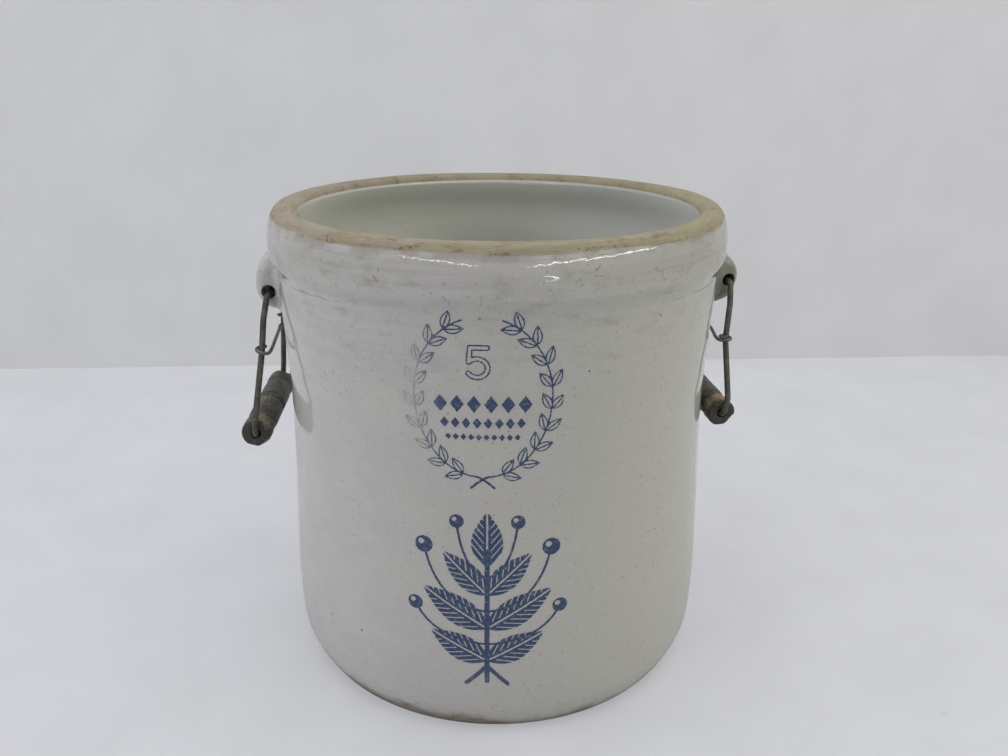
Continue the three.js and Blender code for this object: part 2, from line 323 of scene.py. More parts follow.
def outer_outline():
    """The outside, from the edge of the flat underside up to the crown, as (radius, height)."""
    wall_top = (WALL_STATIONS[-1][0], BAND_FOOT_HEIGHT)
    return np.array([
        *through(HEEL + WALL_STATIONS, 8),
        *swell(wall_top, (BAND_RADIUS, BAND_FULL_HEIGHT), 12),
        *quarter((BAND_RADIUS, HEIGHT - BROW_HEIGHT), (CROWN_OUTER_RADIUS, HEIGHT), False, 16),
    ])


def inner_outline():
    """The inside, from the crown over the lip and down to the middle of the floor."""
    corner = (INNER_RADIUS - FLOOR_CORNER_RADIUS, FLOOR_THICKNESS)
    wall_foot = FLOOR_THICKNESS + FLOOR_CORNER_RADIUS
    wall = np.linspace(HEIGHT - INNER_FULL_DEPTH, wall_foot, 42)
    return np.array([
        *quarter((CROWN_INNER_RADIUS, HEIGHT), (MOUTH_RADIUS, HEIGHT - LIP_HEIGHT), True, 8),
        *swell((MOUTH_RADIUS, HEIGHT - LIP_HEIGHT), (INNER_RADIUS, HEIGHT - INNER_FULL_DEPTH), 5)[1:],
        *[(INNER_RADIUS, height) for height in wall[1:]],
        *quarter((INNER_RADIUS, wall_foot), corner, False, 7)[1:],
        *[(radius, FLOOR_THICKNESS) for radius in (110, 85, 60, 35, 12)],
    ])


OUTER = outer_outline()


def hand(angle, height):
    """How far the potter's hand left the wall off its true radius, in millimetres."""
    slow = 0.16 * np.sin(2 * angle + 0.7) + 0.11 * np.sin(3 * angle + height / 70)
    rings = 0.07 * np.sin(height / 3.7 + 1.5 * np.sin(angle)) + 0.05 * np.sin(height / 8.3 + 2 * angle)
    return slow + rings


def wall_radius(angle, height):
    """The outside's radius without its lugs, as the potter's hand left it."""
    return np.interp(height, OUTER[:, 1], OUTER[:, 0]) + hand(angle, height) * fade(height, 2, 20)


def fade(value, start, end):
    """0 before start, 1 after end and smooth between."""
    share = np.clip((value - start) / (end - start), 0, 1)
    return share * share * (3 - 2 * share)


# Meshes

def mesh_object(name, points, faces, smooth=True):
    """An object at the origin from points in millimetres."""
    mesh = bpy.data.meshes.new(name)
    mesh.from_pydata([tuple(point) for point in np.array(points) * MM], [], faces)
    mesh.validate()
    mesh.update()
    if smooth:
        mesh.shade_smooth()
    obj = bpy.data.objects.new(name, mesh)
    bpy.context.scene.collection.objects.link(obj)
    return obj


def skin_faces(rows, columns, closed=False):
    """The faces of a skin of rows by columns points, whose last row may join its first."""
    faces = []
    for row in range(rows if closed else rows - 1):
        here = row * columns
        there = (row + 1) % rows * columns
        for column in range(columns):
            onward = (column + 1) % columns
            faces.append((here + column, here + onward, there + onward, there + column))
    return faces


def lathe_faces(rows, columns, first_pole, last_pole):
    """The faces of a closed skin of rows by columns points, with a point at each pole."""
    faces = skin_faces(rows, columns)
    last = (rows - 1) * columns
    for column in range(columns):
        onward = (column + 1) % columns
        faces += [(first_pole, onward, column), (last_pole, last + column, last + onward)]
    return faces


def final_mesh(obj, sharp_angle):
    """Turns what an object's modifiers make into its plain mesh, with its edges sharp over an angle."""
    bpy.context.view_layer.update()
    made = bpy.data.meshes.new_from_object(obj.evaluated_get(bpy.context.evaluated_depsgraph_get()))
    obj.modifiers.clear()
    obj.data = made
    made.name = obj.name
    made.set_sharp_from_angle(angle=sharp_angle)
    return obj


def set_values(obj, name, values):
    """Stores one number for each point of a mesh."""
    attribute = obj.data.attributes.new(name, "FLOAT", "POINT")
    attribute.data.foreach_set("value", np.asarray(values, np.float32))


def give(obj, body, slot, material, *nodes):
    """Puts a piece on its body, with its finish, in place of the frame's nodes."""
    obj.data.materials.clear()
    obj.data.materials.append(material)
    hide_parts(*nodes)
    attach(obj, body)


# Materials

def put(tree, socket, value):
    """Sets an input to a number or a colour, or links another socket to it."""
    if isinstance(value, bpy.types.NodeSocket):
        tree.links.new(value, socket)
    else:
        socket.default_value = value


def add_node(tree, kind, *values, settings=None, **named):
    """A new node, with some of its settings, and with its inputs set in order or by name."""
    node = tree.nodes.new(kind)
    for key, value in (settings or {}).items():
        setattr(node, key, value)
    for socket, value in zip(node.inputs, values):
        put(tree, socket, value)
    for key, value in named.items():
        put(tree, node.inputs[key], value)
    return node


class Finish:
    """A node material that is built up call by call. A value may be a number or another socket."""

    def __init__(self, name):
        self.material = bpy.data.materials.new(name)
        self.material.use_nodes = True
        self.tree = self.material.node_tree
        self.shader = self.tree.nodes["Principled BSDF"]
        self.object = self.node("ShaderNodeTexCoord").outputs["Object"]

    def node(self, kind, *values, settings=None, **named):
        return add_node(self.tree, kind, *values, settings=settings, **named)

    def math(self, operation, *values):
        """One kind of sum done on two values, or on more in turn."""
        result = values[0]
        for value in values[1:] or (0.0,):
            result = self.node("ShaderNodeMath", result, value, settings={"operation": operation}).outputs[0]
        return result

    def product(self, *values):
        return self.math("MULTIPLY", *values) if len(values) > 1 else values[0]

    def mix(self, share, first, second, blend="MIX"):
        """One colour laid over another by a share of it."""
        node = self.node("ShaderNodeMix", settings={"data_type": "RGBA", "blend_type": blend},
                         Factor=share, A=first, B=second)
        return node.outputs["Result"]

    def stain(self, tone, colour, *shares):
        """Lays a colour over a tone, as thickly as the product of the shares says."""
        return self.mix(self.product(*shares), tone, colour)

    def span(self, value, low, high, to_low=0.0, to_high=1.0):
        """Maps low to high onto to_low to to_high, smoothly and held at both ends."""
        node = self.node("ShaderNodeMapRange", value, low, high, to_low, to_high,
                         settings={"interpolation_type": "SMOOTHSTEP"})
        return node.outputs["Result"]

    def fall(self, value, low, high):
        """1 under low, 0 over high and smooth between."""
        return self.span(value, low, high, 1.0, 0.0)

    def stretched(self, scale):
        """Object coordinates in millimetres, divided along each axis by scale."""
        node = self.node("ShaderNodeMapping", Vector=self.object)
        node.inputs["Scale"].default_value = [1 / (MM * size) for size in scale]
        return node.outputs["Vector"]

    def noise(self, vector, detail, roughness, distortion=0.0):
        """Noise with lumps about 1 across."""
        node = self.node("ShaderNodeTexNoise", Vector=vector, Scale=1.0, Detail=detail, Roughness=roughness,
                         Distortion=distortion)
        return node.outputs["Fac"]

    def grain(self, size, detail=4.0, roughness=0.55, distortion=0.0):
        """Noise whose lumps are about as large as size, in millimetres, along each axis."""
        sizes = size if isinstance(size, tuple) else (size, size, size)
        return self.noise(self.stretched(sizes), detail, roughness, distortion)

    def patches(self, size, low, high, least=0.0, most=1.0, detail=4.0, roughness=0.55):
        """Soft patches of grain: least where the noise is under low, and most where it is over high."""
        return self.span(self.grain(size, detail, roughness), low, high, least, most)

    def wavy(self, vector, lumps, reach):
        """A vector that is pushed about by noise."""
        push = self.node("ShaderNodeTexNoise", Vector=vector, Scale=lumps, Detail=2.0)
        move = self.node("ShaderNodeVectorMath", push.outputs["Color"], (reach, reach, reach), vector,
                         settings={"operation": "MULTIPLY_ADD"})
        return move.outputs["Vector"]

    def specks(self, size, radius, share):
        """Round specks: 1 inside, 0 outside. Cells are size across, and only a share of them has one."""
        cells = self.node("ShaderNodeTexVoronoi", Vector=self.stretched((size, size, size)), Scale=1.0)
        picked = self.node("ShaderNodeSeparateColor", Color=cells.outputs["Color"])
        reach = self.product(picked.outputs["Green"], radius)
        dot = self.fall(self.math("SUBTRACT", cells.outputs["Distance"], reach), *SPECK_EDGE)
        return self.product(dot, self.math("LESS_THAN", picked.outputs["Red"], share))

    def place(self, axis):
        """How far along one axis a point lies, in millimetres."""
        parts = self.node("ShaderNodeSeparateXYZ", Vector=self.object)
        return self.math("DIVIDE", parts.outputs[axis], MM)

    def height(self):
        return self.place("Z")

    def length(self, first, second):
        """The long side of a right-angled triangle."""
        squares = [self.product(value, value) for value in (first, second)]
        return self.math("SQRT", self.math("ADD", *squares))

    def radius(self):
        """Distance from the crock's axis, in millimetres."""
        return self.length(self.place("X"), self.place("Y"))

    def drawn_round(self, run, rise):
        """Noise drawn out round the crock: run long and rise wide, in millimetres, also over the rim."""
        radius = self.radius()
        across = self.math("SUBTRACT", self.height(), radius)
        turned = self.node("ShaderNodeCombineXYZ", Z=self.math("DIVIDE", across, rise))
        for axis in "XY":
            share = self.math("DIVIDE", self.place(axis), radius)
            put(self.tree, turned.inputs[axis], self.product(share, BAND_RADIUS / run))
        return self.noise(turned.outputs["Vector"], 5.0, 0.65)

    def attribute(self, name):
        return self.node("ShaderNodeAttribute", settings={"attribute_name": name}).outputs["Fac"]

    def bump(self, height, distance, strength, normal=None):
        """A relief as deep as distance, in millimetres, laid over another one."""
        node = self.node("ShaderNodeBump", Height=height, Distance=distance * MM, Strength=strength)
        if normal is not None:
            put(self.tree, node.inputs["Normal"], normal)
        return node.outputs["Normal"]

    def done(self, **values):
        """Sets the shader's inputs, named with _ for each space, and returns the material."""
        for key, value in values.items():
            put(self.tree, self.shader.inputs[key.replace("_", " ")], value)
        return self.material


def shade(colour, share, tint=(1, 1, 1)):
    """A colour made darker or lighter by a share, and tinted."""
    return (colour[0] * share * tint[0], colour[1] * share * tint[1], colour[2] * share * tint[2], 1)


def glaze_tone(finish, colour):
    """The glaze's colour: cloudy, darker and greener on the right and with lilac patches on the left, partly
    as painted light and shade from the side lamps.
    """
    across = finish.place("X")
    clouds = finish.patches((70, 70, 60), 0.3, 0.7, detail=3.0)
    tone = finish.mix(clouds, shade(colour, 0.97), shade(colour, 1.03))
    # Partly painted shade and light: darker and greener on the right, and lilac on the left, as the side
    # lamps' light falls.
    tone = finish.mix(finish.span(across, -50, 110), tone, shade(colour, 0.93, GREENER))
    lilac = finish.patches((30, 30, 20), 0.42, 0.6, most=0.8, detail=3.0)
    leftwards = finish.span(across, -70, 70, 1.0, 0.1)
    tone = finish.stain(tone, shade(colour, 1, LILAC), lilac, leftwards)
    mottle = finish.patches(1.7, 0.25, 0.6, 0.32, 0.0, 3.0, 0.7)
    return finish.mix(mottle, tone, shade(colour, 0.72))


def glaze_grime(finish, tone, colour):
    """Grey smears and blotches on the band and the wall under it, and the band darkened evenly towards its
    sides.
    """
    height = finish.height()
    smears = finish.span(finish.drawn_round(90, 4), 0.46, 0.7, 0.0, 0.3)
    blotches = finish.patches((17, 17, 10), 0.48, 0.68, most=0.45, detail=5.0, roughness=0.65)
    # The band is darkened evenly towards its left and right sides.
    sideways = finish.span(finish.math("ABSOLUTE", finish.place("X")), 30, 120)
    sides = finish.product(sideways, finish.span(height, 284, 300), 0.26)
    marks = finish.math("ADD", smears, blotches, sides)
    high = finish.span(height, 225, 292, 0.12, 1.0)
    off_lugs = finish.fall(finish.radius(), 158.4, 160.5)
    return finish.stain(tone, shade(colour, 0.66, BROWNER), marks, high, off_lugs)


def glaze_layers(finish, colour):
    """The glaze's colour, partly with painted light and shade, and its roughness and bump, shared by the
    crock and its stamps.
    """
    height = finish.height()
    tone = glaze_grime(finish, glaze_tone(finish, colour), colour)
    pits = finish.specks(3.4, 0.3, 0.6)
    tone = finish.stain(tone, STAINS_AND_SHADES["pit"], pits, finish.patches(45, 0.42, 0.58, 0.1, 0.3, 3.0))
    tone = finish.stain(tone, STAINS_AND_SHADES["iron"], finish.specks(11, 0.075, 0.3), 0.8)
    spots = finish.specks(21, 0.05, 0.25)
    tone = finish.stain(tone, STAINS_AND_SHADES["spot"], spots, finish.span(height, 200, 270), 0.65)
    rough = finish.patches(24, 0.3, 0.7, 0.03, 0.07, 3.0)
    peel = finish.bump(finish.grain((11, 11, 8), 2.0), 0.1, 0.7)
    ripple = finish.bump(finish.grain((4, 4, 7), 2.0), 0.15, finish.span(height, 290, 312), peel)
    return tone, rough, finish.bump(pits, -0.1, 0.8, ripple)


def bare_clay(finish, colour):
    """The rim's bare clay: yellowish and pinker on the left, with drawn-out streaks and brown stains, and
    painted shade darkening it towards the back.
    """
    drift = finish.patches(60, 0.3, 0.7, -40.0, 40.0, 3.0)
    left = finish.fall(finish.math("ADD", finish.place("X"), drift), -110, -10)
    clay = finish.mix(left, shade(colour, 1), shade(colour, 1.04, PINKER))
    streaks = finish.span(finish.drawn_round(24, 1.8), 0.4, 0.66, 0.0, 0.75)
    clay = finish.mix(streaks, clay, shade(colour, 0.74))
    clay = finish.stain(clay, STAINS_AND_SHADES["ochre"], finish.patches((13, 13, 7), 0.52, 0.66, most=0.45))
    patch = finish.patches(24, 0.48, 0.57, detail=2.0)
    brown = finish.span(finish.drawn_round(9, 3.5), 0.5, 0.66)
    clay = finish.stain(clay, STAINS_AND_SHADES["brown"], brown, patch, 0.7)
    drops = finish.patches((2.6, 2.6, 3.4), 0.58, 0.64, roughness=0.7)
    low = finish.fall(finish.height(), 325, 327)
    clay = finish.stain(clay, STAINS_AND_SHADES["drop"], drops, patch, low, 0.8)
    # Painted shade: the clay darkens towards the back of the rim.
    behind = finish.span(finish.place("Y"), 20, 120, 0.0, 0.32)
    return finish.mix(behind, clay, shade(colour, 0.4))


def band_marks(finish, tone, edge):
    """Stains the band: brown drips, hairline cracks and a dusky line under the bare rim."""
    height = finish.height()
    drips = finish.patches((3.2, 3.2, 5), 0.63, 0.7, detail=5.0, roughness=0.65)
    patch = finish.patches(30, 0.47, 0.6, detail=3.0)
    tone = finish.stain(tone, STAINS_AND_SHADES["drip"], drips, finish.span(height, 280, 322), patch, 0.75)
    lines = finish.node("ShaderNodeTexVoronoi", settings={"feature": "DISTANCE_TO_EDGE"}, Scale=1.0,
                        Vector=finish.wavy(finish.stretched((15, 15, 12)), 2.6, 0.3))
    crack = finish.fall(lines.outputs["Distance"], 0.006, 0.022)
    broken = finish.patches(13, 0.63, 0.68, detail=2.0)
    tone = finish.stain(tone, STAINS_AND_SHADES["crack"], crack, broken, finish.span(height, 286, 296), 0.55)
    dusk = finish.product(finish.span(edge, 316, 322.5), finish.patches(16, 0.4, 0.62), 0.45)
    return finish.mix(dusk, tone, STAINS_AND_SHADES["dusk"])


def seam_shadow_and_lug_dirt_and_shade(finish, tone):
    """A painted shadow in the seam under the band, and dirt with painted shade, darker lower down, in the
    corners and on the faces of the right lug.
    """
    height, radius, across = finish.height(), finish.radius(), finish.place("X")
    wobble = finish.patches(20, 0.3, 0.7, -0.6, 0.6, 3.0)
    uneven = finish.math("ADD", height, wobble)
    off_seam = finish.math("ABSOLUTE", finish.math("SUBTRACT", uneven, SEAM_HEIGHT))
    # Painted shadow: a thin, broken dark line in the seam under the band, towards the sides.
    tone = finish.stain(tone, STAINS_AND_SHADES["seam"],
                        finish.fall(off_seam, 0.15, 0.8),
                        finish.span(finish.math("ABSOLUTE", across), 84, 118),
                        finish.fall(radius, 155.8, 157),
                        finish.patches(16, 0.4, 0.56, detail=3.0), 0.4)
    # Dirt with painted shade on the lugs, mostly the right one: darker lower down and in the corners where
    # they meet the band's foot.
    beside = finish.product(finish.span(radius, 155.6, 157.6), finish.fall(height, 287, 289.5))
    return finish.stain(tone, STAINS_AND_SHADES["lug"],
                        finish.math("MAXIMUM", beside, finish.span(radius, 158.6, 160.4)),
                        finish.span(across, 0, 100, 0.14, 1.0),
                        finish.span(height, 250, 296, 1.0, 0.6),
                        finish.patches(9, 0.3, 0.65, 0.7, 1.0))


def inside_tone(finish, colour):
    """The glaze inside, with painted light: greener on the left and bluer and darker on the right as the side
    lamps' light falls, and a painted shadow of the lip on the back wall under it.
    """
    height = finish.height()
    # Painted light and shade: greener on the left and bluer and darker on the right, for the side lamps'
    # light.
    tone = finish.mix(finish.span(finish.place("X"), -30, 130), shade(colour, 1), shade(colour, 0.85, BLUER))
    smudge = finish.patches((26, 26, 7), 0.5, 0.7, most=0.22, detail=5.0, roughness=0.65)
    tone = finish.mix(smudge, tone, shade(colour, 0.7))
    # Painted shadow of the lip on the back wall just under it. It stops short of the lip's edge, so a thin
    # paler line is left there for the lip's highlight.
    return finish.stain(tone, shade(colour, 0.5),
                        finish.span(height, 284, 306),
                        finish.fall(height, 321, 322.5),
                        finish.span(finish.place("Y"), -10, 110), 0.6)


def glaze_run(finish, azimuth, up):
    """A low run of glaze on the band's front: 1 in its middle and 0 past its edge."""
    across = finish.math("SUBTRACT", finish.place("X"), BAND_RADIUS * math.sin(azimuth))
    rise = finish.product(finish.math("SUBTRACT", finish.height(), up), GLAZE_RUN_FLATNESS)
    run = finish.fall(finish.length(across, rise), 0.0, GLAZE_RUN_REACH)
    return finish.product(run, finish.math("LESS_THAN", finish.place("Y"), 0.0))


def glaze_edge(finish):
    """The height, made uneven so that the glaze's edge wanders on the outside and runs true inside."""
    wander = finish.patches((34, 34, 30), 0.25, 0.75, -0.9, 0.9, 5.0, 0.62)
    within = finish.fall(finish.radius(), 144, 147)
    trued = finish.product(finish.math("ADD", wander, 0.4), within)
    return finish.math("ADD", finish.height(), finish.math("SUBTRACT", wander, trued))


def above_foot(finish, reach):
    """The height over the ragged edge of the glaze at the foot, which stops higher on the front's left."""
    across = finish.place("X")
    leftwards = finish.product(finish.span(across, -150, -110), finish.fall(across, -25, 20), 0.62)
    ragged = finish.patches(26, 0.42, 0.68, detail=5.0, roughness=0.6)
    share = finish.math("ADD", finish.product(ragged, 0.5), leftwards)
    dregs = finish.math("ADD", finish.product(share, reach), 0.9)
    return finish.math("SUBTRACT", finish.height(), dregs)


def stoneware_finish(settings):
    """Milky glaze, with the rim, the foot's edge and the underside bare, stained clay, and painted light and
    shade in places on both.
    """
    finish = Finish("Stoneware")
    tone, rough, normal = glaze_layers(finish, settings.glaze_colour)
    edge = glaze_edge(finish)
    stop = settings.rim_glaze_height / MM
    rim = finish.span(edge, stop - 0.5, stop + 0.7)
    over_dregs = above_foot(finish, settings.foot_reach / MM)
    foot = finish.fall(over_dregs, -2.5, 1.2)

    tone = seam_shadow_and_lug_dirt_and_shade(finish, band_marks(finish, tone, edge))
    tone = finish.mix(finish.span(over_dregs, 0, 6, 0.55, 0.0), tone, STAINS_AND_SHADES["foot"])
    inner = finish.fall(finish.radius(), 139, 142)
    tone = finish.mix(inner, tone, inside_tone(finish, settings.inside_colour))
    tone = finish.mix(rim, tone, bare_clay(finish, settings.clay_colour))
    foot_clay = finish.mix(finish.patches(4, 0.35, 0.65), *FOOT_CLAY)
    colour = finish.mix(foot, tone, foot_clay)

    runs = finish.math("MAXIMUM", *(glaze_run(finish, *place) for place in GLAZE_RUNS))
    normal = finish.bump(runs, GLAZE_RUN_DEPTH, 1.0, normal)
    bare = finish.math("MAXIMUM", rim, foot)
    roughness = finish.math("ADD", finish.product(bare, 0.62), rough)
    grit = finish.bump(finish.grain(1.1, 4.0, 0.7), 0.25, 0.7, normal)
    blend = finish.node("ShaderNodeMix", settings={"data_type": "VECTOR"}, Factor=bare)
    for socket, value in zip(blend.inputs[4:6], (normal, grit)):
        put(finish.tree, socket, value)
    return finish.done(Base_Color=colour, Roughness=roughness, Normal=blend.outputs[1])


def ink_finish(settings, glaze_colour):
    """Cobalt stamp ink under the glaze, thin at its edges and worn in patches."""
    finish = Finish("Cobalt stamp")
    tone, rough, normal = glaze_layers(finish, glaze_colour)
    strength = finish.attribute("ink_strength")
    ragged = finish.patches(1.3, 0.2, 0.8, -0.2, 0.2, 3.0)
    body = finish.span(finish.math("ADD", finish.attribute("ink_depth"), ragged), -0.02, 0.16)
    worn = finish.patches(2.6, 0.26, 0.5, 0.66, 1.0, 5.0, 0.7)
    printed = finish.span(finish.math("ADD", finish.grain(7, 5.0, 0.7), strength), 0.72, 1.0, 0.12, 1.0)
    cobalt = finish.mix(finish.grain(7), shade(settings.ink_colour, 0.75), shade(settings.ink_colour, 1.35))
    colour = finish.stain(tone, cobalt, body, worn, printed, finish.span(strength, 0.0, 1.0, 0.3, 1.0))
    return finish.done(Base_Color=colour, Roughness=rough, Normal=normal)


def steel_finish(name, colour):
    """Old steel wire, oxidised dark with a green cast and a little rust."""
    finish = Finish(name)
    mottle = finish.patches(5, 0.3, 0.7, detail=5.0, roughness=0.7)
    tone = finish.mix(mottle, shade(colour, 0.62), shade(colour, 1.35))
    rust = finish.patches(2.6, 0.56, 0.68, most=0.55, detail=6.0, roughness=0.75)
    tone = finish.mix(rust, tone, STAINS_AND_SHADES["rust"])
    rough = finish.patches(1.8, 0.3, 0.7, 0.38, 0.62)
    normal = finish.bump(finish.grain(0.7, 4.0, 0.7), 0.12, 0.7)
    return finish.done(Base_Color=tone, Roughness=rough, Normal=normal, Metallic=0.55)


def wood_tone(finish, settings, fibres):
    """The grips' bare wood: fibrous and dirty, but clean and golden where it is rubbed most."""
    colour = settings.wood_colour
    wood = finish.mix(finish.span(fibres, 0.3, 0.7), shade(colour, 0.6), shade(colour, 1.15))
    red = finish.patches(5, 0.48, 0.62, most=0.45, detail=3.0)
    wood = finish.mix(red, wood, shade(colour, 0.75, REDDER))
    clean = finish.span(finish.attribute("wear"), 0.85, 1.5)
    wood = finish.mix(clean, wood, shade(colour, 1.25, GOLDEN))
    dirt = finish.patches(2.4, 0.45, 0.6, detail=5.0, roughness=0.7)
    return finish.stain(wood, shade(settings.paint_colour, 1.5), dirt, finish.span(clean, 0, 1, 0.7, 0.2))


def paint_tone(finish, colour, lumps):
    """The grips' old paint: darker in the hollows and lighter on the tops of its lumps as painted shade and
    highlight, faded and browned in patches, and dusty.
    """
    # Painted shade and highlight: darker in the hollows and lighter and warmer on the tops of the lumps that
    # the bump raises.
    paint = finish.mix(finish.span(lumps, 0.43, 0.57), shade(colour, 0.35), shade(colour, 2.5, WARM))
    faded = finish.patches((7, 9, 7), 0.38, 0.62, most=0.25, detail=2.0)
    paint = finish.mix(faded, paint, shade(colour, 2.8, WARMER))
    brown = finish.patches((4, 9, 4), 0.46, 0.6, most=0.5, roughness=0.65)
    paint = finish.mix(brown, paint, STAINS_AND_SHADES["brown paint"])
    dust = finish.patches(1.3, 0.58, 0.68, most=0.4, detail=5.0, roughness=0.75)
    return finish.mix(dust, paint, STAINS_AND_SHADES["dust"])


def grip_finish(settings):
    """Dark paint on turned wood, blistered and worn through to the grain."""
    finish = Finish("Worn painted wood")
    fibres = finish.grain((0.7, 14, 0.7), 5.0, 0.6, 0.3)
    lumps = finish.grain((3, 4, 3), 6.0, 0.75)
    ragged = finish.patches((1.8, 4, 1.8), 0.2, 0.8, -0.5, 0.5, 6.0, 0.75)
    worn = finish.span(finish.math("ADD", finish.attribute("wear"), ragged), 0.4, 0.58)
    paint = paint_tone(finish, settings.paint_colour, lumps)
    colour = finish.mix(worn, paint, wood_tone(finish, settings, fibres))
    colour = finish.stain(colour, shade(settings.paint_colour, 0.6),
                          finish.attribute("end_dirt"), finish.span(lumps, 0.35, 0.65, 0.45, 1.15))
    relief = finish.math("ADD", finish.product(worn, -0.5), fibres)
    normal = finish.bump(relief, 0.3, 0.8, finish.bump(lumps, 0.9, 0.8))
    return finish.done(Base_Color=colour, Roughness=finish.span(worn, 0.0, 1.0, 0.44, 0.75), Normal=normal)


# The crock

def lug_outline(spec):
    """The lug's end face, as (distance out, height) about the centre of its bore."""
    reach, top, foot = spec["reach"], spec["top"], spec["foot"]
    nose = through([
        (-2.2, top - 0.6),
        (0.48 * reach, 0.72 * top),
        (0.88 * reach, 0.44 * top),
        (reach, 4.5),
        (0.97 * reach, -1.5),
        (0.63 * reach, -0.5 * foot),
        (0.1 * reach, -0.76 * foot),
        (-8, 1.2 - foot),
    ], 5)
    return np.vstack([[(-LUG_BURIED, top + 1)], nose, [(-LUG_BURIED, -foot)]])


def outline_distance(out, height, outline):
    """Signed distance from points to a closed outline, below 0 inside."""
    nearest = np.full(out.shape, np.inf)
    inside = np.zeros(out.shape, bool)
    for start, end in zip(outline, np.roll(outline, -1, axis=0)):
        run = end - start
        share = np.clip(((out - start[0]) * run[0] + (height - start[1]) * run[1]) / (run @ run), 0, 1)
        gap = np.hypot(out - start[0] - share * run[0], height - start[1] - share * run[1])
        nearest = np.minimum(nearest, gap)
        crosses = (start[1] > height) != (end[1] > height)
        if run[1]:
            inside ^= crosses & (out < start[0] + (height - start[1]) * run[0] / run[1])
    return np.where(inside, -nearest, nearest)


def lug_distance(spec, out, along, height):
    """Signed distance to a lug, whose middle is fuller than its ends."""
    outline = lug_outline(spec)
    flat = outline_distance(out - spec["bore"][0], height - spec["bore"][1], outline)
    fuller = LUG_SWELL * (1 - fade(np.abs(along), LUG_FULL_MIDDLE, LUG_LENGTH / 2))
    flat = flat - fuller + LUG_RIPPLE * np.sin(along / 4 + height / 5)
    side = flat + LUG_END_ROUNDING
    end = np.abs(along) - LUG_LENGTH / 2 + LUG_END_ROUNDING
    corner = np.hypot(np.maximum(side, 0), np.maximum(end, 0))
    return corner + np.minimum(np.maximum(side, end), 0) - LUG_END_ROUNDING


def handle_azimuth(name):
    """Which way a handle's hinge lies from the crock's axis."""
    pos = JOINTS[f"{name}_bail_swing"]["pos_m"]
    return math.atan2(pos[1], pos[0])


def blended(first, second, reach):
    """Joins two signed distances with a fillet."""
    share = np.clip(0.5 + 0.5 * (second - first) / reach, 0, 1)
    return second + (first - second) * share - reach * share * (1 - share)


def outside_radius(angles, heights):
    """The outside's radius with its lugs, found for each angle and height by halving."""
    angle, height = np.meshgrid(angles, heights)
    wall = wall_radius(angle, height)
    low = wall - 2
    high = np.full(wall.shape, LUG_OUTER_LIMIT)
    for _ in range(LUG_HALVINGS):
        middle = (low + high) / 2
        distance = middle - wall
        for name, spec in HANDLES.items():
            turn = angle - handle_azimuth(name)
            lug = lug_distance(spec, middle * np.cos(turn), middle * np.sin(turn), height)
            distance = blended(distance, lug, LUG_BLEND)
        low = np.where(distance < 0, middle, low)
        high = np.where(distance < 0, high, middle)
    return (low + high) / 2


def crock_angles():
    """Angles round the crock, closer together where the ends of the lugs are."""
    fine = np.radians(np.arange(*LUG_END_ANGLES))
    near = np.radians(LUG_ANGLES)
    offsets = np.concatenate([[0], fine, -fine, near, -near])
    angles = np.concatenate([handle_azimuth(name) + offsets for name in HANDLES])
    reach = math.radians(LUG_LAST_ANGLE)
    for angle in np.radians(np.arange(0, 360, CROCK_ANGLE_STEP)):
        gaps = [abs((angle - handle_azimuth(name) + math.pi) % TAU - math.pi) for name in HANDLES]
        if min(gaps) > reach:
            angles = np.append(angles, angle)
    return np.sort(angles % TAU)


def crock_heights():
    """Heights up the outside, closer together where the lugs are."""
    low = min(spec["bore"][1] - spec["foot"] for spec in HANDLES.values()) - 7
    outline = OUTER[:, 1]
    lugs = np.arange(low, BAND_FOOT_HEIGHT, LUG_ROW_STEP)
    rest = outline[(outline < low - 2) | (outline >= BAND_FOOT_HEIGHT)]
    return np.unique(np.concatenate([rest[rest > 0], lugs]))


def crock_mesh():
    """The body with its lugs, outside and inside, as one closed skin."""
    angles = crock_angles()
    heights = crock_heights()
    near = (heights > LUG_HEIGHTS[0]) & (heights < LUG_HEIGHTS[1])
    radii = wall_radius(*np.meshgrid(angles, heights))
    radii[near] = outside_radius(angles, heights[near])
    crown = fade(heights, HEIGHT - CROWN_DEPTH, HEIGHT)
    rise = 0.22 * np.sin(3 * angles + 1) + 0.14 * np.sin(7 * angles)
    outside = [(radius, height + rise * up) for radius, height, up in zip(radii, heights, crown)]
    inside = []
    for radius, height in inner_outline():
        lift = fade(height, HEIGHT - CROWN_DEPTH, HEIGHT)
        reach = fade(radius, 60, 120) * (1 - lift)
        inside.append((radius + 1.3 * hand(angles + 1, height) * reach, height + rise * lift))
    level = np.zeros(angles.shape)
    foot = [(radius + level, level) for radius in (40, 90, 130, HEEL[0][0])]
    rows = foot + outside + inside
    points = [
        np.stack((radius * np.cos(angles), radius * np.sin(angles), height + level), axis=1)
        for radius, height in rows
    ]
    count = len(rows) * len(angles)
    faces = lathe_faces(len(rows), len(angles), count, count + 1)
    return np.vstack([*points, [(0, 0, 0)], [(0, 0, FLOOR_THICKNESS)]]), faces


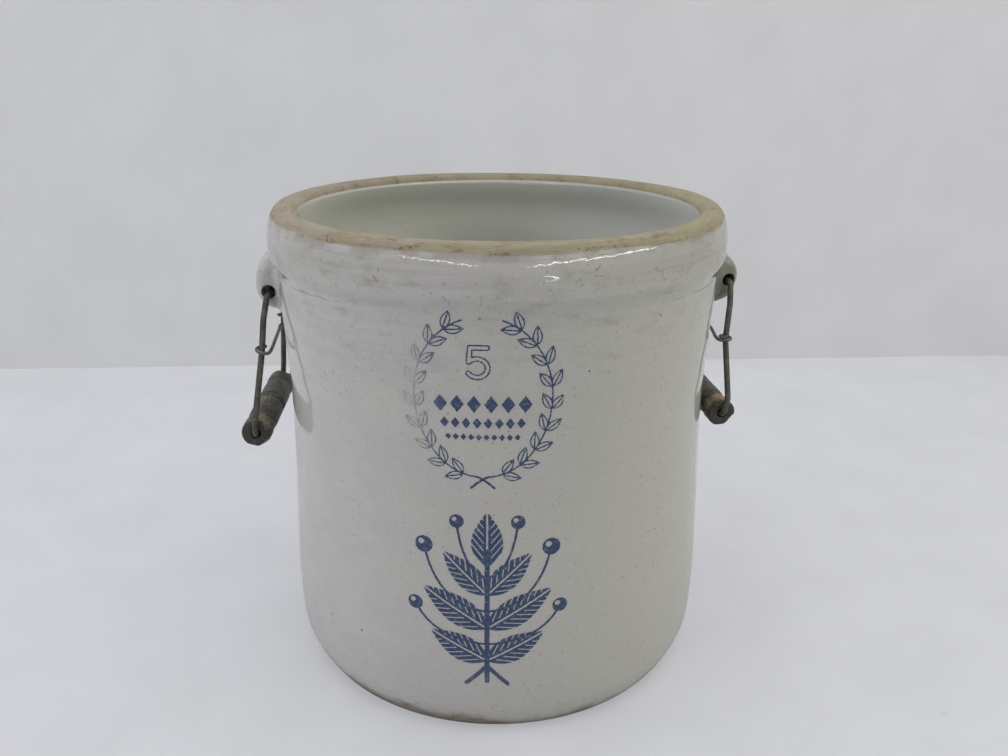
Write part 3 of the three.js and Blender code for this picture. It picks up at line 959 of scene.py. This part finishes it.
def bore_cutter(name, spec):
    """A rod with flared ends that bores a lug and rounds the bore's mouths."""
    radius = spec["bore_radius"]
    end = LUG_LENGTH / 2
    lip = quarter((radius, BORE_LIP - end), (radius + BORE_LIP, -end), False, 5)
    half = [(radius + BORE_LIP + 0.5, -end - 4), (radius + BORE_LIP + 0.1, -end - 1), *lip[::-1]]
    profile = half + [(across, -along) for across, along in reversed(half)]
    points = []
    for across, along in profile:
        for k in range(BORE_SPOKES):
            turn = TAU * k / BORE_SPOKES
            points.append((across * math.cos(turn), along, across * math.sin(turn)))
    points += [(0, profile[0][1], 0), (0, profile[-1][1], 0)]
    faces = lathe_faces(len(profile), BORE_SPOKES, len(points) - 2, len(points) - 1)
    cutter = mesh_object(f"{name}_bore", points, faces, smooth=False)
    place = Matrix.Rotation(handle_azimuth(name), 4, "Z") @ Matrix.Translation(
        Vector((spec["bore"][0], 0, spec["bore"][1])) * MM)
    cutter.data.transform(place)
    outward(cutter)
    return cutter


def outward(obj):
    """Turns every face of a closed mesh outwards."""
    work = bmesh.new()
    work.from_mesh(obj.data)
    bmesh.ops.recalc_face_normals(work, faces=work.faces)
    work.to_mesh(obj.data)
    work.free()


class StonewareSettings(bpy.types.PropertyGroup):
    glaze_colour: FloatVectorProperty(
        name="Glaze", description="Colour of the glaze", default=(0.494, 0.479, 0.442), **COLOUR)
    inside_colour: FloatVectorProperty(
        name="Glaze inside", description="Colour of the glaze inside",
        default=(0.565, 0.568, 0.496), **COLOUR)
    clay_colour: FloatVectorProperty(
        name="Clay", description="Colour of the bare clay", default=(0.31, 0.277, 0.175), **COLOUR)
    rim_glaze_height: FloatProperty(
        name="Rim glaze height", description="Height at which the glaze stops under the rim",
        default=322.8 * MM, min=0.3, max=0.33, unit="LENGTH")
    foot_reach: FloatProperty(
        name="Foot's bare reach", description="How high the bare clay reaches at most up the foot",
        default=12 * MM, min=0, max=0.02, unit="LENGTH")


class CROCK_OT_stoneware(bpy.types.Operator):
    """Build the glazed crock with its two bored lugs"""

    bl_idname = "crock.stoneware"
    bl_label = "Crock"

    def execute(self, context):
        settings = context.scene.crock_stoneware
        crock = mesh_object("stoneware", *crock_mesh())
        outward(crock)
        cutters = [bore_cutter(name, spec) for name, spec in HANDLES.items()]
        for cutter in cutters:
            cut = crock.modifiers.new("Bore", "BOOLEAN")
            cut.operation = "DIFFERENCE"
            cut.solver = "EXACT"
            cut.object = cutter
        final_mesh(crock, CROCK_SHARP_ANGLE)
        for cutter in cutters:
            bpy.data.objects.remove(cutter)
        give(crock, "crock", "glaze", stoneware_finish(settings), "crock_body", "left_lug", "right_lug")
        return {"FINISHED"}


# The stamps, drawn as signed distances in millimetres on the unrolled wall

def stroke(x, y, points, width):
    """A line of some width through points."""
    nearest = np.full(x.shape, np.inf)
    for start, end in zip(points[:-1], points[1:]):
        run = (end[0] - start[0], end[1] - start[1])
        length = max(run[0] ** 2 + run[1] ** 2, 1e-9)
        share = np.clip(((x - start[0]) * run[0] + (y - start[1]) * run[1]) / length, 0, 1)
        nearest = np.minimum(nearest, np.hypot(x - start[0] - share * run[0], y - start[1] - share * run[1]))
    return nearest - width / 2


def leaf(x, y, base, tip, half_width, veins=0.0, line=0.0):
    """A pointed leaf. veins cuts white veins that wide into it, and line leaves only its outline."""
    run = np.subtract(tip, base)
    length = np.hypot(*run)
    along = ((x - base[0]) * run[0] + (y - base[1]) * run[1]) / length
    across = ((x - base[0]) * -run[1] + (y - base[1]) * run[0]) / length
    share = np.clip(along / length, 0, 1)
    half = half_width * np.sin(math.pi * share ** 0.8) ** 0.9
    shape = np.maximum(np.abs(across) - half, np.maximum(-along, along - length))
    if veins:
        slant = (along - 1.3 * np.abs(across)) % VEIN_PITCH
        side = np.abs(slant - VEIN_PITCH / 2) - veins / 2
        rib = np.abs(across) - veins / 2
        side = np.maximum(side, half_width * 0.22 - np.abs(across))
        shape = np.maximum(shape, -np.minimum(side, rib))
    if line:
        rib = np.maximum(np.abs(across) - line / 2, np.maximum(-along, along - 0.85 * length))
        shape = np.minimum(np.abs(shape + line / 2) - line / 2, rib)
    return shape


def bend(start, control, end):
    """Points on a curve from start to end that is drawn towards control."""
    start, control, end = (np.array(point, float) for point in (start, control, end))
    share = np.linspace(0, 1, STALK_POINTS)[:, None]
    return (1 - share) ** 2 * start + 2 * share * (1 - share) * control + share ** 2 * end


def numeral_five(x, y):
    """A plain 5 drawn as a double line."""
    tall = NUMERAL_HEIGHT
    bowl = [(0.32 * tall * math.cos(a), -0.18 * tall + 0.3 * tall * math.sin(a))
            for a in np.radians(np.arange(140, -146, -15))]
    points = [(0.3 * tall, 0.47 * tall), (-0.2 * tall, 0.47 * tall), (-0.25 * tall, 0.03 * tall), *bowl]
    return np.abs(stroke(x - NUMERAL_PLACE[0], y - NUMERAL_PLACE[1], points, 0.14 * tall)) - 0.5


def wreath_stamp(x, y):
    """Two leafy branches that meet at the foot and curve up round a plain 5 and rows of lozenges."""
    art = numeral_five(x, y)
    for row, pitch, tall, count in LOZENGE_ROWS:
        middle = pitch / 2 if count % 2 == 0 else 0
        across = (x - middle + pitch / 2) % pitch - pitch / 2
        lozenge = (np.abs(across) / (0.42 * pitch) + np.abs(y - row) / tall - 1) * 0.36 * pitch
        art = np.minimum(art, np.maximum(lozenge, np.abs(x) - pitch * count / 2))
    wide, tall = WREATH_HALF_SIZE
    for side in (-1, 1):
        turns = np.radians(np.linspace(-84, 74, 30))
        branch = [(side * wide * math.cos(turn), tall * math.sin(turn)) for turn in turns]
        art = np.minimum(art, stroke(x, y, branch, 1.1))
        for k in range(2, 29, 3):
            root = np.array(branch[k])
            heading = np.subtract(branch[k + 1], branch[k - 1])
            heading = heading / np.hypot(*heading)
            normal = np.array([-heading[1], heading[0]])
            for lean in (-1, 1):
                tip = root + 10 * heading + lean * 7 * normal
                art = np.minimum(art, leaf(x, y, root + lean * 0.4 * normal, tip, 3, line=1.0))
        art = np.minimum(art, stroke(x, y, bend((side * 4, -49.7), (0, -50.5), (-side * 7, -57)), 1.6))
    return art


def sprig_stamp(x, y):
    """An upright sprig: one stem with paired veined leaves, and berries on curled stalks."""
    art = stroke(x, y, [(0, -60), (0, 34)], 3.4)
    art = np.minimum(art, leaf(x, y, (0, 24), (0, 61), 10, veins=1.0))
    for side in (-1, 1):
        for base, out, rise, half in SPRIG_LEAVES:
            art = np.minimum(art, leaf(x, y, (0, base), (side * out, base + rise), half, veins=1.0))
        for base, out, rise, size in SPRIG_BERRIES:
            place = (side * out, base + rise)
            art = np.minimum(art, stroke(x, y, bend((0, base), (side * out * 0.8, base + 4), place), 1.7))
            berry = np.hypot(x - place[0], y - place[1]) - size
            shine = np.hypot(x - place[0] + 0.3 * size, y - place[1] - 0.3 * size) - 0.32 * size
            art = np.minimum(art, np.maximum(berry, -shine))
        art = np.minimum(art, stroke(x, y, bend((0, -48), (side * 5, -54), (side * 13, -62)), 3))
    return art


def stencil(field, xs, ys):
    """The part of a grid where a field of signed distances is below 0, cut along its edge."""
    points, depths, faces, known = [], [], [], {}

    def point(key, x, y, depth):
        if key not in known:
            known[key] = len(points)
            points.append((x, y))
            depths.append(depth)
        return known[key]

    lowest = np.minimum.reduce([field[:-1, :-1], field[1:, :-1], field[:-1, 1:], field[1:, 1:]])
    rows, columns = np.nonzero(lowest < 0)
    for row, column in zip(rows.tolist(), columns.tolist()):
        corners = [(row, column), (row, column + 1), (row + 1, column + 1), (row + 1, column)]
        ring = []
        for here, there in zip(corners, corners[1:] + corners[:1]):
            low, high = field[here], field[there]
            if low < 0:
                ring.append(point(here, xs[here[1]], ys[here[0]], -low))
            if (low < 0) != (high < 0):
                share = low / (low - high)
                x = xs[here[1]] + share * (xs[there[1]] - xs[here[1]])
                y = ys[here[0]] + share * (ys[there[0]] - ys[here[0]])
                ring.append(point(tuple(sorted((here, there))), x, y, 0.0))
        if len(ring) > 2:
            faces.append(ring)
    return np.array(points), np.array(depths), faces


def stamp(name, place, design, proud, fading):
    """A stamp's ink, laid on the crock's wall as a thin film."""
    xs, ys = (np.arange(-half, half, STAMP_GRID) for half in place["half_size"])
    points, depths, faces = stencil(design(*np.meshgrid(xs, ys)), xs, ys)
    angles = place["azimuth"] + points[:, 0] / STAMP_RADIUS - math.pi / 2
    heights = place["height"] + points[:, 1]
    radii = wall_radius(angles, heights) + proud
    laid = np.stack([radii * np.cos(angles), radii * np.sin(angles), heights], axis=1)
    ink = mesh_object(name, laid, faces)
    set_values(ink, "ink_depth", depths)
    set_values(ink, "ink_strength", fading(points[:, 0], points[:, 1]))
    return ink


class StampSettings(bpy.types.PropertyGroup):
    ink_colour: FloatVectorProperty(
        name="Ink", description="Colour of the cobalt ink", default=(0.022, 0.045, 0.115), **COLOUR)
    proud: FloatProperty(
        name="Film", description="How far the ink's film stands off the glaze",
        default=0.1 * MM, min=0, max=0.001, unit="LENGTH")


class CROCK_OT_stamps(bpy.types.Operator):
    """Lay the two cobalt stamps on the front of the crock"""

    bl_idname = "crock.stamps"
    bl_label = "Stamps"

    def execute(self, context):
        settings = context.scene.crock_stamps
        material = ink_finish(settings, context.scene.crock_stoneware.glaze_colour)
        proud = settings.proud / MM
        for name, place, design, fading in (
            ("wreath_stamp", UPPER_STAMP, wreath_stamp, lambda x, y: 0.35 + 0.6 * fade(x, -42, -18)),
            ("sprig_stamp", LOWER_STAMP, sprig_stamp, lambda x, y: 0.8 + 0.2 * fade(y, -60, -30)),
        ):
            piece = stamp(name, place, design, proud, fading)
            piece.data.materials.append(material)
            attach(piece, "crock")
        return {"FINISHED"}


# The handles

def on_bail(name, out, along, drop):
    """A point on a bail, in millimetres, from how far out, along and below its hinge it is."""
    spec = HANDLES[name]
    hinge = Vector(JOINTS[f"{name}_bail_swing"]["pos_m"]) / MM
    up = Vector((0, 0, 1))
    outward_way = Vector((hinge.x, hinge.y, 0)).normalized()
    back = up.cross(outward_way) * (1 if name == "right" else -1)
    down_way = outward_way * math.sin(spec["lean"]) - up * math.cos(spec["lean"])
    out_way = outward_way * math.cos(spec["lean"]) + up * math.sin(spec["lean"])
    return hinge + out_way * out + back * along + down_way * drop


def leg_along(leg, end, drop):
    """How far along the hinge a leg is at some drop. The legs spread going down, then run upright."""
    spread = min(1, drop / (leg["drop"] - ANKLE_RISE))
    return end * (LEG_TOP_Y + (LEG_FOOT_Y - LEG_TOP_Y) * spread)


def rounded(corners):
    """Rounds each inner corner of a route, given as (point, radius), to its own radius."""
    points = [corners[0][0]]
    for (before, _), (at, radius), (after, _) in zip(corners, corners[1:], corners[2:]):
        back = (before - at).normalized()
        onward = (after - at).normalized()
        turn = math.pi - back.angle(onward)
        centre = at + (back + onward).normalized() * radius / math.cos(turn / 2)
        spoke = at + back * radius * math.tan(turn / 2) - centre
        axis = onward.cross(back).normalized()
        steps = max(3, math.ceil(turn / BEND_STEP))
        for k in range(steps + 1):
            points.append(centre + Matrix.Rotation(turn * k / steps, 3, axis) @ spoke)
    points.append(corners[-1][0])
    return points


def bail_half(name, side, end):
    """The corners of half a bail, from its hooked end in the bore to its foot."""
    spec = HANDLES[name]
    leg = spec[side]
    drop = spec["tie_drop"]
    return [
        (on_bail(name, 0, end * HOOK_INNER_END, 0), 0),
        (on_bail(name, 0, end * LEG_TOP_Y, 0), BEND_RADIUS),
        (on_bail(name, leg["bow"], leg_along(leg, end, BOW_DROP), BOW_DROP), KINK_RADIUS),
        (on_bail(name, leg["kink"], leg_along(leg, end, drop), drop), KINK_RADIUS),
        (on_bail(name, leg["ankle"], end * LEG_FOOT_Y, leg["drop"] - ANKLE_RISE), ANKLE_RADIUS),
        (on_bail(name, leg["foot"], end * LEG_FOOT_Y, leg["drop"]), BEND_RADIUS),
    ]


def bail_route(name):
    """A bail's middle line, from one hooked end in the bore to the other."""
    return rounded(bail_half(name, "front", -1) + bail_half(name, "back", 1)[::-1])


def tie_hook(name, leg, end, drop, rise, turns):
    """A tie's hook round a leg: part of a ring that climbs from the span to its tip."""
    points = []
    steps = round(abs(turns[1] - turns[0]) / RING_STEP)
    for i in range(steps + 1):
        angle = math.radians(turns[0] + (turns[1] - turns[0]) * i / steps)
        low = drop - rise * i / steps
        out = leg["kink"] + TIE_RING_RADIUS * math.cos(angle)
        points.append(on_bail(name, out, leg_along(leg, end, low) + TIE_RING_RADIUS * math.sin(angle), low))
    return points


def tie_route(name):
    """A tie's middle line: a hook round the front leg, a span across and a hook round the back leg."""
    spec = HANDLES[name]
    drop = spec["tie_drop"]
    points = [
        *tie_hook(name, spec["front"], -1, drop, spec["tie_rise"], spec["front_hook"])[::-1],
        *(on_bail(name, *place) for place in spec["tie_span"]),
        *tie_hook(name, spec["back"], 1, drop + TIE_BACK_LOWER, TIE_BACK_RISE, BACK_HOOK),
    ]
    return [Vector(point) for point in through([tuple(point) for point in points], 4)]


def wire_tree():
    """A node tree that sweeps a wire of uneven thickness along a route of edges."""
    tree = bpy.data.node_groups.new("Bent wire", "GeometryNodeTree")
    sockets = tree.interface
    sockets.new_socket("Geometry", in_out="INPUT", socket_type="NodeSocketGeometry")
    for name, kind in (("Radius", "Float"), ("Sides", "Int"), ("Wobble", "Float"), ("Unevenness", "Float"),
                       ("Material", "Material")):
        sockets.new_socket(name, in_out="INPUT", socket_type=f"NodeSocket{kind}")
    sockets.new_socket("Geometry", in_out="OUTPUT", socket_type="NodeSocketGeometry")

    def node(kind, *values, settings=None, **named):
        return add_node(tree, kind, *values, settings=settings, **named)

    given = tree.nodes.new("NodeGroupInput").outputs
    place = node("GeometryNodeInputPosition").outputs[0]
    slow = node("ShaderNodeTexNoise", Vector=place, Scale=WIRE_WOBBLE_SCALE, Detail=1.0)
    centred = node("ShaderNodeVectorMath", slow.outputs["Color"], (0.5, 0.5, 0.5),
                   settings={"operation": "SUBTRACT"})
    offset = node("ShaderNodeVectorMath", centred.outputs[0], settings={"operation": "SCALE"},
                  Scale=given["Wobble"])
    curve = node("GeometryNodeMeshToCurve", Mesh=given["Geometry"])
    moved = node("GeometryNodeSetPosition", Geometry=curve.outputs[0], Offset=offset.outputs[0])
    quick = node("ShaderNodeTexNoise", Vector=place, Scale=WIRE_UNEVENNESS_SCALE, Detail=2.0)
    thickness = node("ShaderNodeMath", quick.outputs["Fac"], given["Unevenness"], 1.0,
                     settings={"operation": "MULTIPLY_ADD"})
    sized = node("GeometryNodeSetCurveRadius", Curve=moved.outputs[0], Radius=thickness.outputs[0])
    section = node("GeometryNodeCurvePrimitiveCircle", Resolution=given["Sides"], Radius=given["Radius"])
    swept = node("GeometryNodeCurveToMesh", Curve=sized.outputs[0],
                 **{"Profile Curve": section.outputs[0], "Fill Caps": True})
    smooth = node("GeometryNodeSetShadeSmooth", Geometry=swept.outputs[0])
    real = node("GeometryNodeRealizeInstances", Geometry=smooth.outputs[0])
    finished = node("GeometryNodeSetMaterial", Geometry=real.outputs[0], Material=given["Material"])
    tree.links.new(finished.outputs[0], tree.nodes.new("NodeGroupOutput").inputs[0])
    return tree


def swept_wire(name, tree, route, values):
    """A wire along a route, as a plain mesh."""
    mesh = bpy.data.meshes.new(name)
    edges = [(i, i + 1) for i in range(len(route) - 1)]
    mesh.from_pydata([point * MM for point in route], edges, [])
    wire = bpy.data.objects.new(name, mesh)
    bpy.context.scene.collection.objects.link(wire)
    modifier = wire.modifiers.new("Wire", "NODES")
    modifier.node_group = tree
    for item in tree.interface.items_tree:
        if item.in_out == "INPUT" and item.name in values:
            modifier[item.identifier] = values[item.name]
    return final_mesh(wire, FINE_SHARP_ANGLE)


class WireSettings(bpy.types.PropertyGroup):
    bail_radius: FloatProperty(
        name="Bail wire radius", description="Half the thickness of the bails' wire",
        default=2.08 * MM, min=0.0005, max=0.004, unit="LENGTH")
    tie_radius: FloatProperty(
        name="Tie wire radius", description="Half the thickness of the ties' wire",
        default=1.22 * MM, min=0.0005, max=0.003, unit="LENGTH")
    sides: IntProperty(name="Sides", description="Sides of the wires' section", default=18, min=6, max=48)
    steel_colour: FloatVectorProperty(
        name="Steel", description="Colour of the oxidised wire", default=(0.096, 0.1, 0.084), **COLOUR)


class CROCK_OT_handles(bpy.types.Operator):
    """Bend the two bails and their ties"""

    bl_idname = "crock.handles"
    bl_label = "Wire handles"

    def execute(self, context):
        settings = context.scene.crock_wires
        tree = wire_tree()
        for name in HANDLES:
            for part, route, radius, slot in (
                ("bail", bail_route(name), settings.bail_radius, "bail_wire"),
                ("tie", tie_route(name), settings.tie_radius, "tie_wire"),
            ):
                # The ties get a lighter copy of the steel, partly a painted highlight.
                colour = shade(settings.steel_colour, TIE_LIGHTER if part == "tie" else 1.0)
                material = steel_finish(f"{name} {part} steel", colour)
                values = {"Radius": radius, "Sides": settings.sides, "Wobble": WIRE_WOBBLE * MM,
                          "Unevenness": WIRE_UNEVENNESS, "Material": material}
                wire = swept_wire(f"{name}_{part}_wire", tree, route, values)
                give(wire, f"{name}_bail", slot, material, f"{name}_{part}")
        return {"FINISHED"}


# The grips

def grip_half():
    """Half of the grip's turned outline, as (radius, distance from the end)."""
    knob = (GRIP_KNOB_RADIUS, GRIP_KNOB_WIDTH)
    neck = (GRIP_NECK_RADIUS, GRIP_NECK_FROM_END)
    belly = (GRIP_BELLY_RADIUS, GRIP_BELLY_FROM_END)
    groove = GRIP_LENGTH / 2 - GROOVE_FROM_MIDDLE
    cove = [
        (GRIP_BELLY_RADIUS - GROOVE_DEPTH * math.sin(math.pi * k / 6), groove + GROOVE_WIDTH * (k / 6 - 0.5))
        for k in range(7)
    ]
    body = np.linspace(GRIP_BELLY_FROM_END, groove - GROOVE_WIDTH / 2, 14)[1:-1]
    barrel = np.linspace(GRIP_ROUNDING, GRIP_KNOB_WIDTH, 8)[1:-1]
    return [
        (GRIP_BORE_RADIUS, GRIP_SINK_DEPTH),
        *quarter((GRIP_BORE_RADIUS, GRIP_SINK_DEPTH - 0.2), (GRIP_MOUTH_RADIUS, 0), False, 4)[1:],
        (6.5, 0),
        *quarter((GRIP_KNOB_RADIUS - GRIP_ROUNDING, 0), (GRIP_KNOB_RADIUS, GRIP_ROUNDING), True, 6),
        *[(GRIP_KNOB_RADIUS, from_end) for from_end in barrel],
        *swell(knob, neck, 7),
        *swell(neck, belly, 8)[1:],
        *[(GRIP_BELLY_RADIUS, from_end) for from_end in body],
        *cove,
    ]


def way_round(turn, middle):
    """The angle from middle, in degrees, to turn, in radians, the shorter way round."""
    return (turn - math.radians(middle) + math.pi) % TAU - math.pi


def rub_off(turn, along, radius, middle, place, reach, strength):
    """How much a rubbed patch of a grip has lost of its paint at some spot."""
    around = way_round(turn, middle) * GRIP_BELLY_RADIUS
    inwards = GRIP_BELLY_RADIUS - radius
    return strength * math.exp(-(around ** 2 + inwards ** 2 + (along - place) ** 2) / reach ** 2)


def chipped(turn, along, middle, end, reach, depth):
    """How deep a chip out of a knob's edge is at some spot."""
    around = way_round(turn, middle) * GRIP_KNOB_RADIUS
    gap = math.hypot(around, CHIP_SQUASH * (end * GRIP_LENGTH / 2 - along))
    return depth * max(0.0, 1 - gap / reach) ** 0.6


def grip_mesh(name):
    """A grip about its own bore, with chips out of its knobs. Returns points, faces, wear and end dirt."""
    spin = JOINTS[f"{name}_grip_spin"]
    centre = Vector(spin["pos_m"]) / MM
    axis = Vector(spin["axis"]).normalized()
    side = axis.cross(Vector((0, 0, 1))).normalized()
    up = side.cross(axis)
    half = grip_half()
    end = GRIP_LENGTH / 2
    outline = [(radius, from_end - end) for radius, from_end in half]
    outline += [(radius, end - from_end) for radius, from_end in reversed(half)]
    apart = 5 if name == "right" else 0
    points, wear, end_dirt = [], [], []
    for radius, along in outline:
        from_end = end - abs(along)
        dirty = END_DIRT * max(0.0, 1 - from_end / GRIP_ROUNDING)
        for k in range(GRIP_SEGMENTS):
            turn = TAU * k / GRIP_SEGMENTS
            around = side * math.cos(turn) + up * math.sin(turn)
            spot = Vector((math.cos(turn), math.sin(turn), along / 14 + apart))
            lump = noise.noise(spot * 2.3)
            rubbed = noise.fractal(spot * 1.6, 1.0, 2.0, 3)
            on_knob = radius > GRIP_NECK_RADIUS and from_end < GRIP_NECK_FROM_END
            chip = max(0.0, lump - 0.16) * 3 * max(0.0, 1 - from_end / CHIP_FROM_END) if on_knob else 0.0
            chip += sum(chipped(turn, along, *spec) for spec in GRIP_CHIPS[name])
            dent = noise.noise(spot * 5.1 + Vector((0, 0, along / 3)))
            solid = min(1.0, max(0.0, (radius - GRIP_MOUTH_RADIUS) / 3))
            shift = solid * (GRIP_LUMPS * lump + GRIP_DENTS * dent - min(chip, CHIP_DEPTH))
            points.append(centre + axis * along + around * (radius + shift))
            worn = sum(rub_off(turn, along, radius, *rub) for rub in GRIP_RUBS[name])
            wear.append(0.02 + 0.3 * rubbed + 0.2 * chip + worn)
            end_dirt.append(dirty)
    faces = skin_faces(len(outline), GRIP_SEGMENTS, closed=True)
    return points, faces, wear, end_dirt


class GripSettings(bpy.types.PropertyGroup):
    paint_colour: FloatVectorProperty(
        name="Paint", description="Colour of the dark paint", default=(0.032, 0.0302, 0.0225), **COLOUR)
    wood_colour: FloatVectorProperty(
        name="Wood", description="Colour of the bare wood", default=(0.29, 0.238, 0.15), **COLOUR)


class CROCK_OT_grips(bpy.types.Operator):
    """Turn the two wooden grips"""

    bl_idname = "crock.grips"
    bl_label = "Grips"

    def execute(self, context):
        material = grip_finish(context.scene.crock_grips)
        for name in HANDLES:
            points, faces, wear, end_dirt = grip_mesh(name)
            grip = mesh_object(f"{name}_wooden_grip", [tuple(point) for point in points], faces)
            outward(grip)
            set_values(grip, "wear", wear)
            set_values(grip, "end_dirt", end_dirt)
            grip.data.set_sharp_from_angle(angle=FINE_SHARP_ANGLE)
            give(grip, f"{name}_grip", "grip_wood", material, f"{name}_grip")
        return {"FINISHED"}


# The stage

class StageSettings(bpy.types.PropertyGroup):
    floor_colour: FloatVectorProperty(
        name="Floor", description="Colour of the floor", default=(0.61, 0.615, 0.645), **COLOUR)
    wall_colour: FloatVectorProperty(
        name="Wall", description="Colour of the wall behind", default=(0.575, 0.578, 0.59), **COLOUR)
    overhead: FloatProperty(
        name="Overhead light", description="Power of the soft light overhead", default=17, **POWER)
    sides: FloatProperty(
        name="Side light", description="Power of the long light at each side", default=10, **POWER)
    tubes: FloatProperty(
        name="Tubes", description="Power of the thin lights that the glaze mirrors", default=3.6, **POWER)
    sky: FloatProperty(
        name="Sky", description="Strength of the even light all round", default=0.42, min=0, max=5)


def area_light(name, start, end, target, width, power, colour=(1, 1, 1), lights=True, shines=True):
    """A strip of light from start to end, in metres, that faces a target.

    lights says if matt surfaces show it, and shines if gloss does.
    """
    start, end = Vector(start), Vector(end)
    place = (start + end) / 2
    lamp = bpy.data.lights.new(name, "AREA")
    lamp.shape = "RECTANGLE"
    lamp.size = (end - start).length
    lamp.size_y = width
    lamp.energy = power
    lamp.color = colour
    along = (end - start).normalized()
    back = place - Vector(target)
    back = (back - along * back.dot(along)).normalized()
    obj = bpy.data.objects.new(name, lamp)
    turned = Matrix((along, back.cross(along), back)).transposed().to_4x4()
    obj.matrix_world = Matrix.Translation(place) @ turned
    obj.visible_diffuse = lights
    obj.visible_glossy = shines
    bpy.context.scene.collection.objects.link(obj)


def stage_finish(name, colour):
    """Pale painted board with faint marks. The camera sees its own tone through half of each shadow."""
    finish = Finish(name)
    tone = finish.mix(finish.patches(90, 0.3, 0.7, detail=3.0), shade(colour, 0.975), shade(colour, 1.02))
    tone = finish.stain(tone, shade(colour, 0.5), finish.specks(70, 0.018, 0.4), 0.25)
    seen = finish.node("ShaderNodeLightPath").outputs["Is Camera Ray"]
    lit = finish.mix(seen, tone, finish.mix(1.0, tone, shade((1, 1, 1), 1 - STAGE_GLOW), "MULTIPLY"))
    return finish.done(Base_Color=lit, Roughness=0.6, Emission_Color=tone,
                       Emission_Strength=finish.product(seen, STAGE_GLOW))


class CROCK_OT_stage(bpy.types.Operator):
    """Set up the floor, the wall behind, the lights and the camera"""

    bl_idname = "crock.stage"
    bl_label = "Stage"

    def execute(self, context):
        settings = context.scene.crock_stage
        turn = Matrix.Rotation(WALL_TURN, 3, "Z")
        near_left, near_right = ((side * STAGE_REACH, -STAGE_REACH, 0) for side in (-1, 1))
        left, right = (turn @ Vector((side * STAGE_REACH, WALL_DISTANCE, 0)) for side in (-1, 1))
        up = Vector((0, 0, 2 * STAGE_REACH))
        for name, corners, colour in (
            ("floor", [near_left, near_right, right, left], settings.floor_colour),
            ("wall", [left, right, right + up, left + up], settings.wall_colour),
        ):
            piece = mesh_object(name, corners, [(0, 1, 2, 3)], False)
            piece.data.materials.append(stage_finish(name, colour))

        middle = (0, 0, 0.25)
        area_light("Overhead", (-0.85, -0.1, 1.9), (1.05, -0.1, 1.9), (0, 0.1, 0.2), 1.5, settings.overhead)
        for name, start, end, share, colour in (
            ("Left", (-1.5, -1.2, 0.8), (-1.5, 0.3, 0.8), 1, COOL),
            ("Right", (1.5, -1.3, 0.8), (1.5, 0.2, 0.8), 0.82, WARM_WHITE),
        ):
            area_light(name, start, end, middle, 0.3, share * settings.sides, colour, shines=False)
        for name, start, end, share in (
            ("Left tube", (-1.21, -1.03, 0.89), (-0.38, -1.66, 0.68), 0.45),
            ("Right tube", (0.35, -1.67, 0.65), (1.5, -0.36, 0.84), 1),
            ("Ceiling tube", (-0.9, -0.15, 1.85), (0.5, -0.15, 1.85), 1),
        ):
            area_light(name, start, end, middle, 0.03, share * settings.tubes, lights=False)
        world = bpy.data.worlds.new("Studio")
        world.use_nodes = True
        background = world.node_tree.nodes["Background"]
        background.inputs["Color"].default_value = SKY_COLOUR
        background.inputs["Strength"].default_value = settings.sky
        context.scene.world = world

        lens = bpy.data.cameras.new("Photograph")
        lens.sensor_width = SENSOR
        lens.lens = SENSOR * FOCAL_PIXELS / PHOTO_WIDTH
        camera = bpy.data.objects.new("Photograph", lens)
        camera.location = Vector(CAMERA_PLACE) * MM
        look = Euler((math.pi / 2 - CAMERA_PITCH, 0, -CAMERA_HEADING)).to_matrix()
        camera.rotation_euler = (look @ Matrix.Rotation(CAMERA_ROLL, 3, "Z")).to_euler()
        context.scene.collection.objects.link(camera)
        context.scene.camera = camera
        context.scene.view_settings.view_transform = "Standard"
        return {"FINISHED"}


class CROCK_PT_panel(bpy.types.Panel):
    """The crock's pieces and their settings"""

    bl_idname = "CROCK_PT_panel"
    bl_label = "Stoneware Crock"
    bl_space_type = "VIEW_3D"
    bl_region_type = "UI"
    bl_category = "Crock"

    def draw(self, context):
        for operator, group in zip(OPERATORS, SETTINGS):
            box = self.layout.box()
            box.operator(operator.bl_idname)
            settings = getattr(context.scene, group)
            for key in settings.__annotations__:
                box.prop(settings, key)


SETTINGS = {
    "crock_stoneware": StonewareSettings,
    "crock_stamps": StampSettings,
    "crock_wires": WireSettings,
    "crock_grips": GripSettings,
    "crock_stage": StageSettings,
}
OPERATORS = (CROCK_OT_stoneware, CROCK_OT_stamps, CROCK_OT_handles, CROCK_OT_grips, CROCK_OT_stage)


def register():
    for group in SETTINGS.values():
        bpy.utils.register_class(group)
    for name, group in SETTINGS.items():
        setattr(bpy.types.Scene, name, PointerProperty(type=group))
    for operator in OPERATORS:
        bpy.utils.register_class(operator)
    bpy.utils.register_class(CROCK_PT_panel)


def unregister():
    bpy.utils.unregister_class(CROCK_PT_panel)
    for operator in reversed(OPERATORS):
        bpy.utils.unregister_class(operator)
    for name, group in SETTINGS.items():
        delattr(bpy.types.Scene, name)
        bpy.utils.unregister_class(group)


def main():
    register()
    for operator in OPERATORS:
        group, name = operator.bl_idname.split(".")
        getattr(getattr(bpy.ops, group), name)()


if __name__ == "__main__":
    main()
